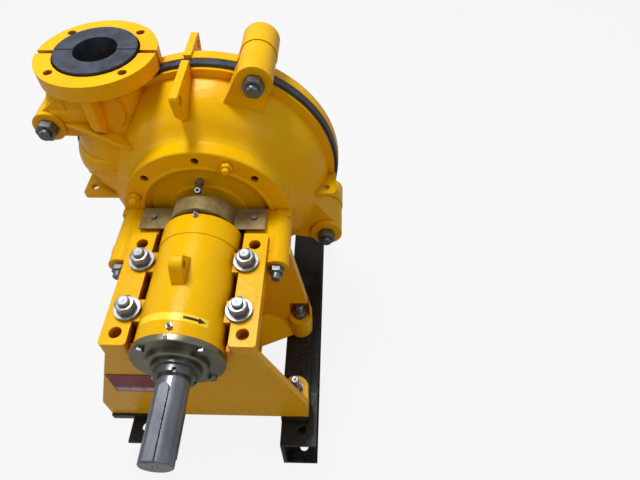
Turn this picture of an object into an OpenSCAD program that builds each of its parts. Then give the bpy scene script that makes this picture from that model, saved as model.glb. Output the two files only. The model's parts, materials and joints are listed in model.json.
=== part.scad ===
// Rubber-lined centrifugal slurry pump on a cast pedestal.
// X is to the right and Y runs from the coupling end of the shaft to the suction flange.
// Z is up, and the origin is the centre of the shaft end face.

/* [Shaft and rotor] */
// Diameter of the shaft at the coupling
shaft_d = 65; // [58:1:68]
// Diameter of the shaft in the two bearings
journal_d = 73; // [72:0.5:76]
// Diameter of the shaft between the bearings
shaft_mid_d = 88; // [82:1:92]
// Diameter of the shaft under the sleeve
shaft_wet_d = 66; // [60:1:68]
// Diameter of the impeller thread
thread_d = 50; // [44:1:54]
// Width of the coupling key
key_w = 20; // [16:1:22]
// Height of the coupling key
key_h = 11; // [9:1:13]
// Length of the coupling key
key_l = 142; // [120:1:150]
// Angle of the key from the top of the shaft
key_turn = -8; // [-40:1:40]
// Outer diameter of the shaft sleeve
sleeve_d = 90; // [86:1:92]

/* [Impeller] */
// Diameter of the impeller
impeller_d = 365; // [350:1:370]
// Overall width of the impeller shrouds
impeller_w = 88; // [80:1:90]
// Thickness of each shroud
shroud_t = 14; // [10:1:16]
// Number of main vanes
vane_count = 5; // [4:1:6]
// Thickness of a main vane
vane_t = 16; // [12:1:18]
// Diameter of the impeller eye
eye_d = 160; // [152:1:164]
// Number of expelling vanes on each shroud
expeller_count = 10; // [6:1:12]
// Height of the expelling vanes
expeller_h = 6; // [4:0.5:6.5]

/* [Bearings] */
// Outside diameter of the roller bearings
bearing_od = 149; // [146:1:150]
// Width of a roller bearing
bearing_w = 54; // [48:1:56]
// Rollers in each bearing
roller_count = 15; // [12:1:16]
// Diameter of a bearing roller
roller_d = 16; // [14:1:16.5]

/* [Bearing housing] */
// Outside diameter of the bearing barrel
barrel_d = 186; // [180:1:190]
// Length of the bearing barrel
barrel_l = 302; // [295:1:306]
// Distance from the shaft end to the outer end cover
cover_y = 197; // [185:1:205]
// Thickness of the end cover flange
cover_t = 13.5; // [10:0.5:15]
// Diameter of the end covers
cover_d = 190; // [186:1:194]
// Diameter of the raised boss on the end covers
cover_boss_d = 126; // [118:1:132]
// Height of the lifting fin above the barrel
fin_h = 46; // [40:1:56]
// Thickness of the lifting fin
fin_t = 27; // [20:1:30]

/* [Pedestal] */
// Height of the shaft above the feet
shaft_height = 330; // [320:1:345]
// Width across the feet
foot_w = 492; // [480:1:500]
// Distance from the foot bolts to the side edges of the feet
foot_edge = 30; // [28:1:34]
// Spacing of the foot bolts along the pump
foot_pitch_y = 204; // [195:1:212]
// Distance from the front plate to the first foot bolts
foot_bolt_in = 45; // [40:1:52]
// Height of the foot pads
pad_h = 72; // [60:1:80]
// Height of the ledge top above the shaft axis
ledge_z = 34; // [28:1:40]
// Width of each ledge
ledge_w = 56; // [50:1:60]
// Half of the gap between the ledges
ledge_in = 101; // [100:1:104]
// Length of the ledges
ledge_l = 288; // [280:1:292]
// Thickness of the ledges
ledge_t = 40; // [34:1:48]
// Thickness of the front plate
plate_t = 15; // [12:1:20]
// Thickness of the pedestal walls
wall_t = 12; // [10:1:14]
// Diameter of the long stud bosses beside the ledges
stud_boss_d = 54; // [50:1:56]
// Length of the long stud bosses
stud_boss_l = 156; // [130:1:165]

/* [Casing] */
// Distance from the barrel to the face of the frame ring
ring_gap = 75.5; // [70:0.5:80]
// Outside diameter of the frame ring
ring_d = 408; // [400:1:412]
// Diameter of the hole circle in the frame ring
ring_pcd = 356; // [350:1:360]
// Diameter of the opening inside the frame ring
ring_bore_d = 306; // [300:1:310]
// Distance from the frame ring face to the split of the casing
split_in = 172; // [168:1:176]
// Radius of the casing rim
rim_r = 302; // [298:1:306]
// Shift of the rim centre to the right
rim_x = 10; // [6:1:12]
// Shift of the rim centre upward
rim_z = 14; // [10:1:18]
// Thickness of each rubber liner flange at the rim
rubber_rim_t = 10; // [8:0.5:12]
// Thickness of the rubber liner walls
rubber_t = 18; // [14:0.5:20]
// Thickness of the cast casing walls
casting_t = 12; // [10:0.5:14]
// Radius of the rim lobe under the discharge branch
lobe_r = 130; // [124:1:134]
// Height of the rim lobe centre above the shaft axis
lobe_z = 75; // [65:1:85]

/* [Volute] */
// Radius of the round volute passage, which is also the discharge bore
volute_r = 48; // [46:0.5:49]
// Distance from the shaft axis to the discharge centre
discharge_x = 213; // [210:1:216]
// Growth of the spiral in each quarter turn
spiral_step = 14; // [12:0.5:15]
// Radius of the impeller chamber
chamber_r = 190; // [188:1:194]
// Width of the impeller chamber
chamber_w = 104; // [102:1:106]

/* [Flanges] */
// Height of the discharge flange face above the shaft axis
discharge_z = 339; // [334:1:345]
// Outside diameter of the discharge flange
discharge_d = 265; // [260:1:270]
// Thickness of the discharge flange
discharge_t = 36; // [30:1:40]
// Hole circle of the discharge flange
discharge_pcd = 222; // [218:1:226]
// Diameter of the discharge flange holes
discharge_hole_d = 19; // [17:1:22]
// Diameter of the rubber lip on the discharge flange
lip_d = 181; // [176:1:186]
// Height of the rubber lip above the flange face
lip_h = 7; // [4:0.5:9]
// Gap between the two halves of the discharge flange
flange_gap = 12; // [8:0.5:14]
// Distance from the casing split to the suction flange face
suction_in = 261; // [255:1:270]
// Outside diameter of the suction flange
suction_d = 305; // [300:1:310]
// Thickness of the suction flange
suction_t = 26; // [22:1:30]
// Hole circle of the suction flange
suction_pcd = 260; // [256:1:264]
// Diameter of the suction flange holes
suction_hole_d = 19; // [17:1:22]
// Diameter of the suction bore
suction_bore_d = 152; // [146:1:156]

/* [Guard, rails and plates] */
// Thickness of the gland guard sheet
guard_t = 3; // [2:0.5:4]
// Radius of the arched guard
guard_r = 72; // [70:1:76]
// Thickness of the sole plates
sole_t = 20; // [16:1:24]
// Height of the rails
rail_h = 140; // [120:1:160]
// Width of the rails
rail_w = 88; // [80:1:92]
// Wall thickness of the rails
rail_t = 9; // [7:0.5:11]
// Length of the rails
rail_l = 800; // [760:1:840]

/* [Hidden] */
$fn = 96;

// Small clearances
seat_gap = 0.1;
slide_gap = 0.3;
run_gap = 0.5;
eps = 0.01;

// Stations along the shaft axis
barrel_y = cover_y + cover_t;
barrel_end = barrel_y + barrel_l;
ring_y = barrel_end + ring_gap;
split_y = ring_y + split_in;
suction_y = split_y + suction_in;
plate_y = barrel_y + 8.5;
ledge_y = plate_y - 2;
ledge_end = ledge_y + ledge_l;
shelf_z = ledge_z - 8;
floor_z = -shaft_height;
barrel_r = barrel_d / 2;

// Casing stations
front_rim_y = split_y - rubber_rim_t;
rear_rim_y = split_y + rubber_rim_t;
front_face_y = split_y - 100;
rear_face_y = split_y + 70;
wall_front_y = split_y - chamber_w / 2 - rubber_t;
wall_rear_y = split_y + chamber_w / 2 + rubber_t;
rim_edge_t = 27;

// Corner bosses of the casing: place across, place up, radius
boss_ul = [-334, 213, 36];
boss_ur = [140, 326, 39];
boss_lr = [283, -150, 42];
boss_ll = [-150, -268, 40];
casing_bosses = [boss_ul, boss_ur, boss_lr, boss_ll];

// Threads and fasteners
casing_bolt_r = 13.5;
casing_nut_af = 41;
ring_stud_r = 8;
ring_nut_af = 24;
frame_stud_r = 10;
frame_stud_angles = [90, 135, 225, 270];
frame_nut_af = 30;
foot_bolt_r = 9;
foot_nut_af = 27;
clamp_x = 115;
clamp_r = 12;
clamp_nut_af = 36;
clamp_washer_r = 27.5;
clamp_washer_t = 9;
clamp_y1 = ledge_y + 80;
clamp_y2 = ledge_y + 204;
cover_screw_r = 5;
cover_screw_pcr = 84;
recess_r = barrel_d / 2 - 4;
wet_screw_r = 4;
wet_head_r = 6;
wet_screw_pcr = 81.5;
shim_t = 0.5;
ring_r = ring_pcd / 2;

// Bearings and labyrinths
bearing_r = bearing_od / 2;
bearing1_y = barrel_y + 22;
bearing2_y = barrel_end - 22 - bearing_w;
journal_r = journal_d / 2;
labyrinth_r = 50;
labyrinth_y = cover_y - 36;

// Impeller and chamber stations
impeller_y = split_y - impeller_w / 2;
chamber_y = split_y - chamber_w / 2;
chamber_end = split_y + chamber_w / 2;
insert_r = 150;
bush_r = 128;
sleeve_r = sleeve_d / 2;
shaft_end_y = split_y + 12;

// Stuffing box and packing
box_r = ring_bore_d / 2 - 14;
box_y = ring_y + 6;
box_face_y = ring_y + 14;
packing_w = 13;
packing_r = sleeve_r + packing_w;
packing_y = box_y + 18;
gland_travel = 8;
gland_y = box_y - 24;
gland_flange_t = 14;
gland_stud_x = 78;
gland_stud_r = 7;

// Rails and sole plates, which lie off centre as on the stand in the photograph
rail_right_x = foot_w / 2 - 68;
rail_left_x = 50 - foot_w / 2;
rail_y = 155;
rail_top_z = floor_z - sole_t;

function pol(r, a) = [r * sin(a), r * cos(a)];

// Cylinder along Y from y0 to y1 at x, z
module ycyl(r, y0, y1, x = 0, z = 0)
    translate([x, y1, z]) rotate([90, 0, 0]) cylinder(h = y1 - y0, r = r);

// Solid of revolution about the shaft axis, profile points are [radius, y]
module yrev(points)
    rotate([-90, 0, 0]) rotate_extrude() polygon(points);

// Profile in X and Z, extruded along Y from y0 to y1
module yplate(y0, y1)
    translate([0, y1, 0]) rotate([90, 0, 0]) linear_extrude(y1 - y0) children();

// Profile in Y and Z, extruded along X from x0 to x1
module xplate(x0, x1)
    translate([x0, 0, 0]) rotate([90, 0, 90]) linear_extrude(x1 - x0) children();

// Profile in X and Y, extruded along Z from z0 to z1
module zplate(z0, z1)
    translate([0, 0, z0]) linear_extrude(z1 - z0) children();

// Ring along Y
module yring(ro, ri, y0, y1)
    difference() {
        ycyl(ro, y0, y1);
        ycyl(ri, y0 - 1, y1 + 1);
    }

// Rectangle with round corners, from its lowest corner
module round_rect(x0, y0, x1, y1, r) {
    translate([x0 + r, y0]) square([x1 - x0 - 2 * r, y1 - y0]);
    translate([x0, y0 + r]) square([x1 - x0, y1 - y0 - 2 * r]);
    for (x = [x0 + r, x1 - r], y = [y0 + r, y1 - r]) translate([x, y]) circle(r = r, $fn = 48);
}

// Straight bar between two circles of different radius, drawn on its outer tangents
module bar2d(a, ra, b, rb) {
    d = b - a;
    len = norm(d);
    dir = atan2(d[1], d[0]);
    lean = acos((ra - rb) / len);
    translate(a) circle(r = ra);
    translate(b) circle(r = rb);
    polygon([
        a + ra * [cos(dir + lean), sin(dir + lean)], b + rb * [cos(dir + lean), sin(dir + lean)],
        b + rb * [cos(dir - lean), sin(dir - lean)], a + ra * [cos(dir - lean), sin(dir - lean)]
    ]);
}

// Hexagon prism along Y
module yhex(af, y0, y1, x = 0, z = 0, turn = 0)
    translate([x, y1, z]) rotate([90, turn, 0]) cylinder(h = y1 - y0, r = af / sqrt(3), $fn = 6);

// Nut along Y with chamfered corners
module ynut(af, bore_r, y0, y1, x = 0, z = 0, turn = 0)
    difference() {
        intersection() {
            yhex(af, y0, y1, x, z, turn);
            translate([x, 0, z]) yrev(nut_form(af, y0, y1));
        }
        ycyl(bore_r, y0 - 1, y1 + 1, x, z);
    }

// Turned outline that gives a hexagon its chamfered corners, as [radius, place along the axis]
function nut_form(af, a0, a1) = [[0, a0], [af / 2 - 0.6, a0], [af / 2 + 3, a0 + 2.1], [af / 2 + 3, a1 - 2.1],
    [af / 2 - 0.6, a1], [0, a1]];

// Nut along Z with chamfered corners
module znut(af, bore_r, z0, z1, x, y, turn = 0)
    translate([x, y, z0]) difference() {
        intersection() {
            rotate(turn) cylinder(h = z1 - z0, r = af / sqrt(3), $fn = 6);
            rotate_extrude() polygon(nut_form(af, 0, z1 - z0));
        }
        translate([0, 0, -1]) cylinder(h = z1 - z0 + 2, r = bore_r);
    }

// Volute

// The spiral is drawn from four quarter arcs, each one step larger than the last
arc_a_r = discharge_x - 3.5 * spiral_step;
half_step = spiral_step / 2;
tongue_turn = 30;

// Part of a round passage section on one side of the split: side 1 is the front, -1 the rear
module passage_section(r, side, over)
    intersection() {
        circle(r = r, $fn = 64);
        translate([-200, side > 0 ? -over : over - 200]) square([400, 200]);
    }

// One arc of the round passage: centre, radius, start and sweep clockwise from the top
module passage_arc(cx, cz, r, start, sweep, grow, side, over)
    translate([cx, split_y, cz]) rotate([90, 0, 0]) rotate([0, 0, 90 - start - sweep])
        rotate_extrude(angle = sweep) translate([r, 0]) passage_section(volute_r + grow, side, over);

// Box that keeps one side of the split
module side_box(side, over)
    translate([-500, side > 0 ? split_y + over - 300 : split_y - over, -500]) cube([1000, 300, 1000]);

// One half of the passage from the tongue round to the foot of the discharge branch
module scroll(grow, side, over) {
    passage_arc(half_step, half_step, arc_a_r, -tongue_turn, tongue_turn, grow, side, over);
    passage_arc(half_step, -half_step, arc_a_r + spiral_step, 0, 90, grow, side, over);
    passage_arc(-half_step, -half_step, arc_a_r + 2 * spiral_step, 90, 90, grow, side, over);
    passage_arc(-half_step, half_step, arc_a_r + 3 * spiral_step, 180, 90, grow, side, over);
    intersection() {
        translate([half_step - arc_a_r * sin(tongue_turn), split_y, half_step + arc_a_r * cos(tongue_turn)])
            rotate([90, 0, 0]) sphere(r = volute_r + grow, $fn = 64);
        side_box(side, over);
    }
}

// One half of the upright part of the discharge passage
module branch(grow, z1, side, over)
    translate([-discharge_x, split_y, half_step]) rotate([0, 0, 180]) linear_extrude(z1 - half_step)
        passage_section(volute_r + grow, side, over);

// One half of the impeller chamber
module chamber(grow, side, over)
    ycyl(chamber_r + grow, side > 0 ? chamber_y - grow : split_y - over,
        side > 0 ? split_y + over : chamber_end + grow);

// One half of the wet space, grown outward by a wall and carried past the split by over
module wet_space(grow, z1, side, over) {
    scroll(grow, side, over);
    branch(grow, z1, side, over);
    chamber(grow, side, over);
}

// Outline of the casing rim at the split, grown outward
module rim_outline(grow) {
    translate([rim_x, rim_z]) circle(r = rim_r + grow, $fn = 144);
    bar2d([-discharge_x, lobe_z], lobe_r + grow, [-60, 100], lobe_r + 60 + grow);
    bar2d([-discharge_x, lobe_z], lobe_r + grow, [-120, -60], lobe_r + 20 + grow);
}

// Casing

// Holes of the casing bolts
module casing_bolt_holes(y0, y1)
    for (b = casing_bosses) ycyl(casing_bolt_r + run_gap, y0, y1, b[0], b[1]);

// Webs that join the corner bosses to the casing, as flat profiles
web_roots = [[-225, 245, 68], [84, 196, 50], [190, -90, 80], [-100, -180, 70]];
module boss_web(i) let (b = casing_bosses[i], w = web_roots[i])
    bar2d([b[0], b[1]], b[2] - 3, [w[0], w[1]], w[2]);

module boss_webs() for (i = [0:3]) boss_web(i);

// Round lobe of the casing that carries the discharge branch
module branch_body() {
    neck_z = 110;
    neck_r = 112;
    lobe_z = 50;
    translate([-discharge_x, split_y, 0]) rotate_extrude()
        polygon(concat(
            [[0, lobe_z - neck_r]],
            [for (a = [-75:15:0]) [neck_r * cos(a), lobe_z + neck_r * sin(a)]],
            [[neck_r, neck_z], [volute_r + rubber_t + 16, discharge_z - discharge_t + 2],
            [0, discharge_z - discharge_t + 2]]
        ));
}

// Rib that runs up the front of the branch to its flange
module branch_rib() {
    rib_y = split_y - discharge_d / 2 + 12;
    xplate(-discharge_x - 10, -discharge_x + 10)
        polygon([
            [rib_y, discharge_z - discharge_t - 12], [rib_y, 222], [rib_y + 12, 200], [rib_y + 40, 186],
            [rib_y + 40, discharge_z - discharge_t - 12]
        ]);
}

// Discharge flange with its recess, both halves in one
module discharge_flange()
    translate([-discharge_x, split_y, discharge_z - discharge_t])
        cylinder(h = discharge_t, r = discharge_d / 2);

// Holes of the discharge flange
module discharge_holes()
    for (a = [45:90:315])
        translate([-discharge_x + discharge_pcd / 2 * sin(a), split_y + discharge_pcd / 2 * cos(a), 0])
            translate([0, 0, discharge_z - discharge_t - 60])
                cylinder(h = discharge_t + 61, r = discharge_hole_d / 2);

// Space in one casing half for its rubber liner
module liner_space(side) {
    wet_space(rubber_t, discharge_z - 20, side, 1);
    translate([-discharge_x, split_y, discharge_z - 28]) cylinder(h = 40, r = lip_d / 2 + 4);
}

// Keeps the half of a solid in front of the split
module front_half(gap = 0)
    intersection() {
        children();
        translate([-500, 0, -500]) cube([1000, split_y - gap, 1000]);
    }

// Keeps the half of a solid behind the split
module rear_half(gap = 0)
    intersection() {
        children();
        translate([-500, split_y + gap, -500]) cube([1000, 600, 1000]);
    }

// Outer profile of the front casing half, as [radius, y]
bowl_front = [
    [ring_d / 2 - 3, ring_y], [ring_d / 2, ring_y + 3], [ring_d / 2, ring_y + 28],
    [ring_d / 2 + 3, ring_y + 38], [ring_d / 2 + 12, ring_y + 48], [ring_d / 2 + 26, ring_y + 57],
    [ring_d / 2 + 44, ring_y + 72], [ring_d / 2 + 62, ring_y + 96], [ring_d / 2 + 74, ring_y + 120],
    [ring_d / 2 + 82, ring_y + 142], [ring_d / 2 + 86, ring_y + 155]
];

// Drive-side casing half, which carries the frame ring
module frame_plate() color("goldenrod")
    difference() {
        union() {
            yrev(concat(
                [[120, ring_y + 14], [ring_bore_d / 2 - 10, ring_y + 14], [ring_bore_d / 2 - 3, ring_y + 8],
                [ring_bore_d / 2 + 4, ring_y + 2], [ring_bore_d / 2 + 7, ring_y]],
                bowl_front,
                [[ring_d / 2 + 86, front_rim_y], [120, front_rim_y]]
            ));
            yplate(front_rim_y - 10, front_rim_y) rim_outline(-8);
            front_half(rubber_rim_t) branch_body();
            for (i = [0:3]) yplate(front_face_y + (i == 1 ? 27 : 12), front_rim_y) boss_web(i);
            for (b = casing_bosses) ycyl(b[2], front_face_y, split_y - 0.5, b[0], b[1]);
            front_half(flange_gap / 2) discharge_flange();
            front_half(flange_gap / 2) translate([-discharge_x, split_y, discharge_z - discharge_t - 16])
                cylinder(h = 18, r1 = volute_r + rubber_t + 16, r2 = lip_d / 2 + 18);
            arm_slope();
            branch_rib();
            lifting_lug(split_y - 148, front_rim_y);
            side_ears();
        }
        liner_space(1);
        ycyl(insert_r, chamber_y - 22, split_y + 1);
        ycyl(box_r + seat_gap, ring_y - 1, wall_front_y);
        casing_bolt_holes(front_face_y - 1, split_y + 1);
        discharge_holes();
        for (a = [0, 45, 180, 315]) let (p = pol(ring_r, a))
            ycyl(ring_stud_r + 1, ring_y - 1, ring_y + 34, p[0], p[1]);
        for (a = frame_stud_angles) let (p = pol(ring_r, a))
            ycyl(frame_stud_r + seat_gap, ring_y - 1, ring_y + 34, p[0], p[1]);
        for (a = liner_angles) let (p = pol(ring_r, a))
            ycyl(ring_stud_r + seat_gap, ring_y - 1, wall_front_y + 1, p[0], p[1]);
    }

// Top of the upper left arm, which slopes back to the discharge flange
module arm_slope()
    xplate(boss_ul[0], -discharge_x)
        polygon([
            [front_face_y + 13, boss_ul[1] - 22], [front_face_y + 13, boss_ul[1] + 32],
            [front_rim_y - 4, discharge_z - discharge_t - 4], [front_rim_y - 4, boss_ul[1] - 22]
        ]);

// Upright lifting lug with a hole, on one casing half
lug_x = -19;
lug_t = 17;
lug_top = 324;
module lifting_lug(y0, y1)
    difference() {
        xplate(lug_x - lug_t / 2, lug_x + lug_t / 2)
            polygon([
                [y0 + 3, lug_top], [y0, lug_top - 6], [y0 + 8, lug_top - 50], [y0 + 40, lug_top - 86],
                [y0 + 60, 190], [y1, 190], [y1, lug_top]
            ]);
        translate([lug_x - lug_t, y0 + 20, lug_top - 20]) rotate([0, 90, 0]) cylinder(h = 2 * lug_t, r = 11);
    }

// Flat ears at shaft height
ear_t = 12;
module side_ears() {
    difference() {
        zplate(-ear_t, 0) {
            round_rect(200, split_y - 94, rim_x + rim_r - 4, front_rim_y, 12);
            round_rect(-336, split_y - 102, -200, front_rim_y, 12);
        }
        for (x = [282, -312]) translate([x, split_y - 72, -ear_t - 1]) cylinder(h = ear_t + 2, r = 10);
    }
}

// Outer profile of the rear casing half, as [radius, y]
bowl_rear = [
    [suction_bore_d / 2 + 34, rear_rim_y + 148], [suction_bore_d / 2 + 48, rear_rim_y + 128],
    [190, rear_rim_y + 112], [236, rear_rim_y + 98], [266, rear_rim_y + 74], [282, rear_rim_y + 44],
    [288, rear_rim_y + 20]
];

// Suction-side casing half with the suction flange
module cover_plate() color("goldenrod")
    difference() {
        union() {
            yrev(concat([[100, rear_rim_y], [100, suction_y], [suction_d / 2 - 2, suction_y],
                [suction_d / 2, suction_y - 2], [suction_d / 2, suction_y - suction_t],
                [suction_bore_d / 2 + 40, suction_y - suction_t],
                [suction_bore_d / 2 + 34, suction_y - suction_t - 8]],
                bowl_rear, [[288, rear_rim_y]]));
            yplate(rear_rim_y, rear_rim_y + rim_edge_t) rim_outline(2);
            yplate(rear_rim_y, rear_rim_y + rim_edge_t + 12) rim_outline(-8);
            rear_half(rubber_rim_t) branch_body();
            yplate(rear_rim_y, rear_face_y - 22) boss_webs();
            for (b = casing_bosses) ycyl(b[2] + 2, split_y + 0.5, rear_face_y, b[0], b[1]);
            rear_half(flange_gap / 2) discharge_flange();
            rear_half(flange_gap / 2) translate([-discharge_x, split_y, discharge_z - discharge_t - 16])
                cylinder(h = 18, r1 = volute_r + rubber_t + 16, r2 = lip_d / 2 + 18);
            translate([0, 2 * split_y, 0]) mirror([0, 1, 0]) lifting_lug(split_y - 108, front_rim_y);
            for (i = [0:7]) rotate([0, 22.5 + i * 45, 0]) suction_rib();
        }
        liner_space(-1);
        ycyl(bush_r + seat_gap, split_y, wall_rear_y + casting_t + seat_gap);
        ycyl(suction_bore_d / 2 + rubber_t + seat_gap, split_y, suction_y + 1);
        casing_bolt_holes(split_y - 1, rear_face_y + 1);
        discharge_holes();
        for (i = [0:7]) let (p = pol(suction_pcd / 2, i * 45 + 22.5))
            ycyl(suction_hole_d / 2, suction_y - suction_t - 40, suction_y + 1, p[0], p[1]);
        for (i = [0:7]) let (p = pol(ring_r, i * 45))
            ycyl(ring_stud_r + seat_gap, split_y, rear_rim_y + 140, p[0], p[1]);
        for (i = [0:7]) let (p = pol(ring_r, i * 45))
            ycyl(20, rear_rim_y + 106, rear_rim_y + 140, p[0], p[1]);
    }

// Stiffening rib between the suction flange and the cover plate
module suction_rib()
    xplate(-6, 6)
        polygon([
            [rear_rim_y + 60, 100], [rear_rim_y + 90, 240], [rear_rim_y + 104, 236],
            [suction_y - suction_t + 1, suction_bore_d / 2 + 44], [suction_y - suction_t + 1, 100]
        ]);

// Rubber

// Flange of the liners that is pinched between the casing halves
module rubber_flange(y0, y1)
    difference() {
        yplate(y0, y1) rim_outline(0);
        for (b = casing_bosses) ycyl(b[2] + 2.5, y0 - 1, y1 + 1, b[0], b[1]);
    }

// Outside of one rubber liner half
module liner_body(side) {
    wet_space(rubber_t - seat_gap, discharge_z - 10, side, 0);
    translate([-discharge_x, split_y, discharge_z - 27]) rotate([0, 0, 180]) linear_extrude(27 + lip_h)
        passage_section(lip_d / 2, side, 0);
}

// Front rubber liner
module frame_plate_liner() color("dimgray")
    difference() {
        union() {
            liner_body(1);
            rubber_flange(front_rim_y + eps, split_y);
        }
        wet_space(0, discharge_z + lip_h + 1, 1, 1);
        ycyl(insert_r, wall_front_y - 1, split_y + 1);
        translate([-discharge_x - lip_d, split_y - 100, discharge_z + lip_h - 1.5])
            cube([2 * lip_d, 101, 10]);
    }

// Rear rubber liner
module cover_plate_liner() color("dimgray")
    difference() {
        union() {
            liner_body(-1);
            rubber_flange(split_y, rear_rim_y - eps);
        }
        wet_space(0, discharge_z + lip_h + 1, -1, 1);
        ycyl(bush_r, split_y - 1, wall_rear_y + 1);
    }

// Rubber-faced disc behind the impeller
module liner_insert() color("dimgray")
    difference() {
        yrev([
            [sleeve_r + 4, chamber_y - 22], [insert_r - seat_gap, chamber_y - 22],
            [insert_r - seat_gap, chamber_y],
            [sleeve_r + 16, chamber_y], [sleeve_r + 4, chamber_y - 8]
        ]);
        ycyl(sleeve_r + 2, chamber_y - 40, chamber_y + 1);
    }

// Throat bush between the impeller eye and the suction flange
module throat_bush() color("dimgray")
    yrev([
        [eye_d / 2 - 2, chamber_end], [bush_r, chamber_end], [bush_r, wall_rear_y + casting_t],
        [suction_bore_d / 2 + rubber_t, wall_rear_y + casting_t],
        [suction_bore_d / 2 + rubber_t, suction_y - 12], [suction_bore_d / 2, suction_y - 12],
        [suction_bore_d / 2, chamber_end + 8]
    ]);

// Seal ring at the suction face
module intake_joint() color("dimgray")
    yring(suction_bore_d / 2 + rubber_t, suction_bore_d / 2, suction_y - 12, suction_y);

// Shaft seal

// Housing of the packing, with a web that closes the frame ring
module stuffing_box() color("goldenrod")
    difference() {
        yrev([
            [sleeve_r + 2, chamber_y - 22 - seat_gap], [sleeve_r + 2, packing_y + 4 * packing_w + 14],
            [packing_r, packing_y + 4 * packing_w + 13], [packing_r, box_y], [94, box_y],
            [94, box_face_y], [box_r, box_face_y], [box_r, chamber_y - 22 - seat_gap],
            [box_r - 18, chamber_y - 22 - seat_gap], [box_r - 18, box_face_y + 16],
            [packing_r + 22, box_face_y + 16],
            [packing_r + 22, chamber_y - 22 - seat_gap]
        ]);
        for (s = [-1, 1]) ycyl(gland_stud_r + seat_gap, box_y - 1, box_face_y + 17, s * gland_stud_x, 0);
        ycyl(nipple_r + seat_gap, box_y - 1, box_face_y + 17, nipple_x, nipple_z);
    }

// Place of the seal water connection
nipple_x = -4;
nipple_z = 107;
nipple_r = 6;
lantern_y = packing_y + packing_w;

// Ring that spreads the seal water
module lantern_ring() color("silver")
    difference() {
        yring(packing_r - seat_gap, sleeve_r + 1, lantern_y, lantern_y + 12);
        for (i = [0:5]) rotate([0, i * 60, 0])
            translate([0, lantern_y + 6, sleeve_r]) cylinder(h = packing_w + 4, r = 3.5, $fn = 32);
    }

// Square packing rings, one before and three after the lantern ring
module packing_rings() color("tan") {
    yring(packing_r - seat_gap, sleeve_r + seat_gap, packing_y, packing_y + packing_w - 0.5);
    for (i = [0:2])
        yring(packing_r - seat_gap, sleeve_r + seat_gap, lantern_y + 12.5 + i * packing_w,
            lantern_y + 12 + (i + 1) * packing_w);
}

// Gland that squeezes the packing, with a nose that enters the box
module gland() color("gray")
    difference() {
        union() {
            yplate(gland_y, gland_y + gland_flange_t) {
                circle(r = packing_r + 6);
                round_rect(-gland_stud_x - 16, -16, gland_stud_x + 16, 16, 14);
            }
            ycyl(packing_r - slide_gap, gland_y, packing_y - 0.2);
        }
        ycyl(sleeve_r + 1, gland_y - 1, packing_y + 1);
        for (s = [-1, 1]) ycyl(gland_stud_r + slide_gap, gland_y - 1, box_y, s * gland_stud_x, 0);
    }

// Studs of the gland
module gland_studs() color("silver")
    for (s = [-1, 1]) ycyl(gland_stud_r, gland_y - 26, box_face_y + 14, s * gland_stud_x, 0);

// Nuts of the gland
module gland_nuts() color("silver")
    for (s = [-1, 1]) ynut(22, gland_stud_r + slide_gap, gland_y - 12, gland_y, s * gland_stud_x, 0);

// Pipe nipple that brings seal water into the stuffing box
module water_nipple() color("silver")
    difference() {
        union() {
            ycyl(nipple_r, box_face_y - 30, box_face_y + 14, nipple_x, nipple_z);
            yhex(17, box_face_y - 12, box_face_y, nipple_x, nipple_z);
            ycyl(nipple_r + 3, box_face_y - 36, box_face_y - 24, nipple_x, nipple_z);
        }
        ycyl(nipple_r - 3, box_face_y - 37, box_face_y + 15, nipple_x, nipple_z);
    }

// Pedestal

// Foot bolt places
foot_pitch_x = foot_w - 2 * foot_edge;
function foot_places() = [for (x = [-1, 1], i = [0, 1])
    [x * foot_pitch_x / 2, plate_y + foot_bolt_in + i * foot_pitch_y]];

// One ledge and the wall below it, on the right side
module ledge() {
    zplate(ledge_z - ledge_t, ledge_z) round_rect(ledge_in, ledge_y, ledge_in + ledge_w, ledge_end, 8);
    zplate(ledge_z - ledge_t, ledge_z) translate([ledge_in, ledge_end - 20]) square([ledge_w - 4, 20]);
    zplate(shelf_z - ledge_t, shelf_z) translate([ledge_in, ledge_end - 10])
        square([ledge_w - 6, ring_y - ledge_end + 10 - eps]);
    zplate(floor_z, ledge_z - ledge_t + 4) translate([ledge_in - 1, plate_y])
        square([wall_t, ring_y - plate_y - 80]);
}

// Front plate, a trapezoid that spreads to the feet
module front_plate()
    yplate(plate_y, plate_y + plate_t)
        polygon([
            [-ledge_in - ledge_w + 2, -6], [-foot_w / 2, floor_z + pad_h], [-foot_w / 2 + 2, floor_z],
            [foot_w / 2 - 2, floor_z], [foot_w / 2, floor_z + pad_h], [ledge_in + ledge_w - 2, -6],
            [ledge_in + ledge_w - 2, 10], [-ledge_in - ledge_w + 2, 10]
        ]);

// Toes in front of the rear feet, which lean back and outward
toe_y = plate_y + 184;
toe_turn = 24;

// Transverse wall that spreads from the ledges to the rear feet
rear_wall_y = plate_y + 246;
module rear_wall() {
    yplate(rear_wall_y, rear_wall_y + 22)
        polygon([
            [-206, 8], [-foot_w / 2, floor_z + pad_h], [-foot_w / 2, floor_z], [foot_w / 2, floor_z],
            [foot_w / 2, floor_z + pad_h], [206, 8]
        ]);
    for (s = [0, 1]) mirror([s, 0, 0]) intersection() {
        translate([ledge_in - 1, toe_y, 0]) rotate(toe_turn) xplate(-40, 110)
            polygon([
                [0, floor_z + 2], [46, floor_z + pad_h + 8], [120, floor_z + pad_h + 8], [120, floor_z + 2]
            ]);
        translate([ledge_in - 1, toe_y - 5, floor_z - 5])
            cube([foot_pitch_x / 2 - ledge_in, rear_wall_y + 10 - toe_y + 5, 200]);
    }
}

// Pads under the foot bolts
module foot_pads()
    for (p = foot_places())
        zplate(floor_z, floor_z + pad_h) {
            translate([p[0], p[1]]) circle(r = foot_w / 2 - foot_pitch_x / 2);
            if (p[1] < plate_y + 100)
                translate([p[0] - 30, plate_y]) square([60, foot_bolt_in]);
            else
                translate([p[0] - 30, p[1]]) square([60, rear_wall_y + 10 - p[1] + 12]);
        }

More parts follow.
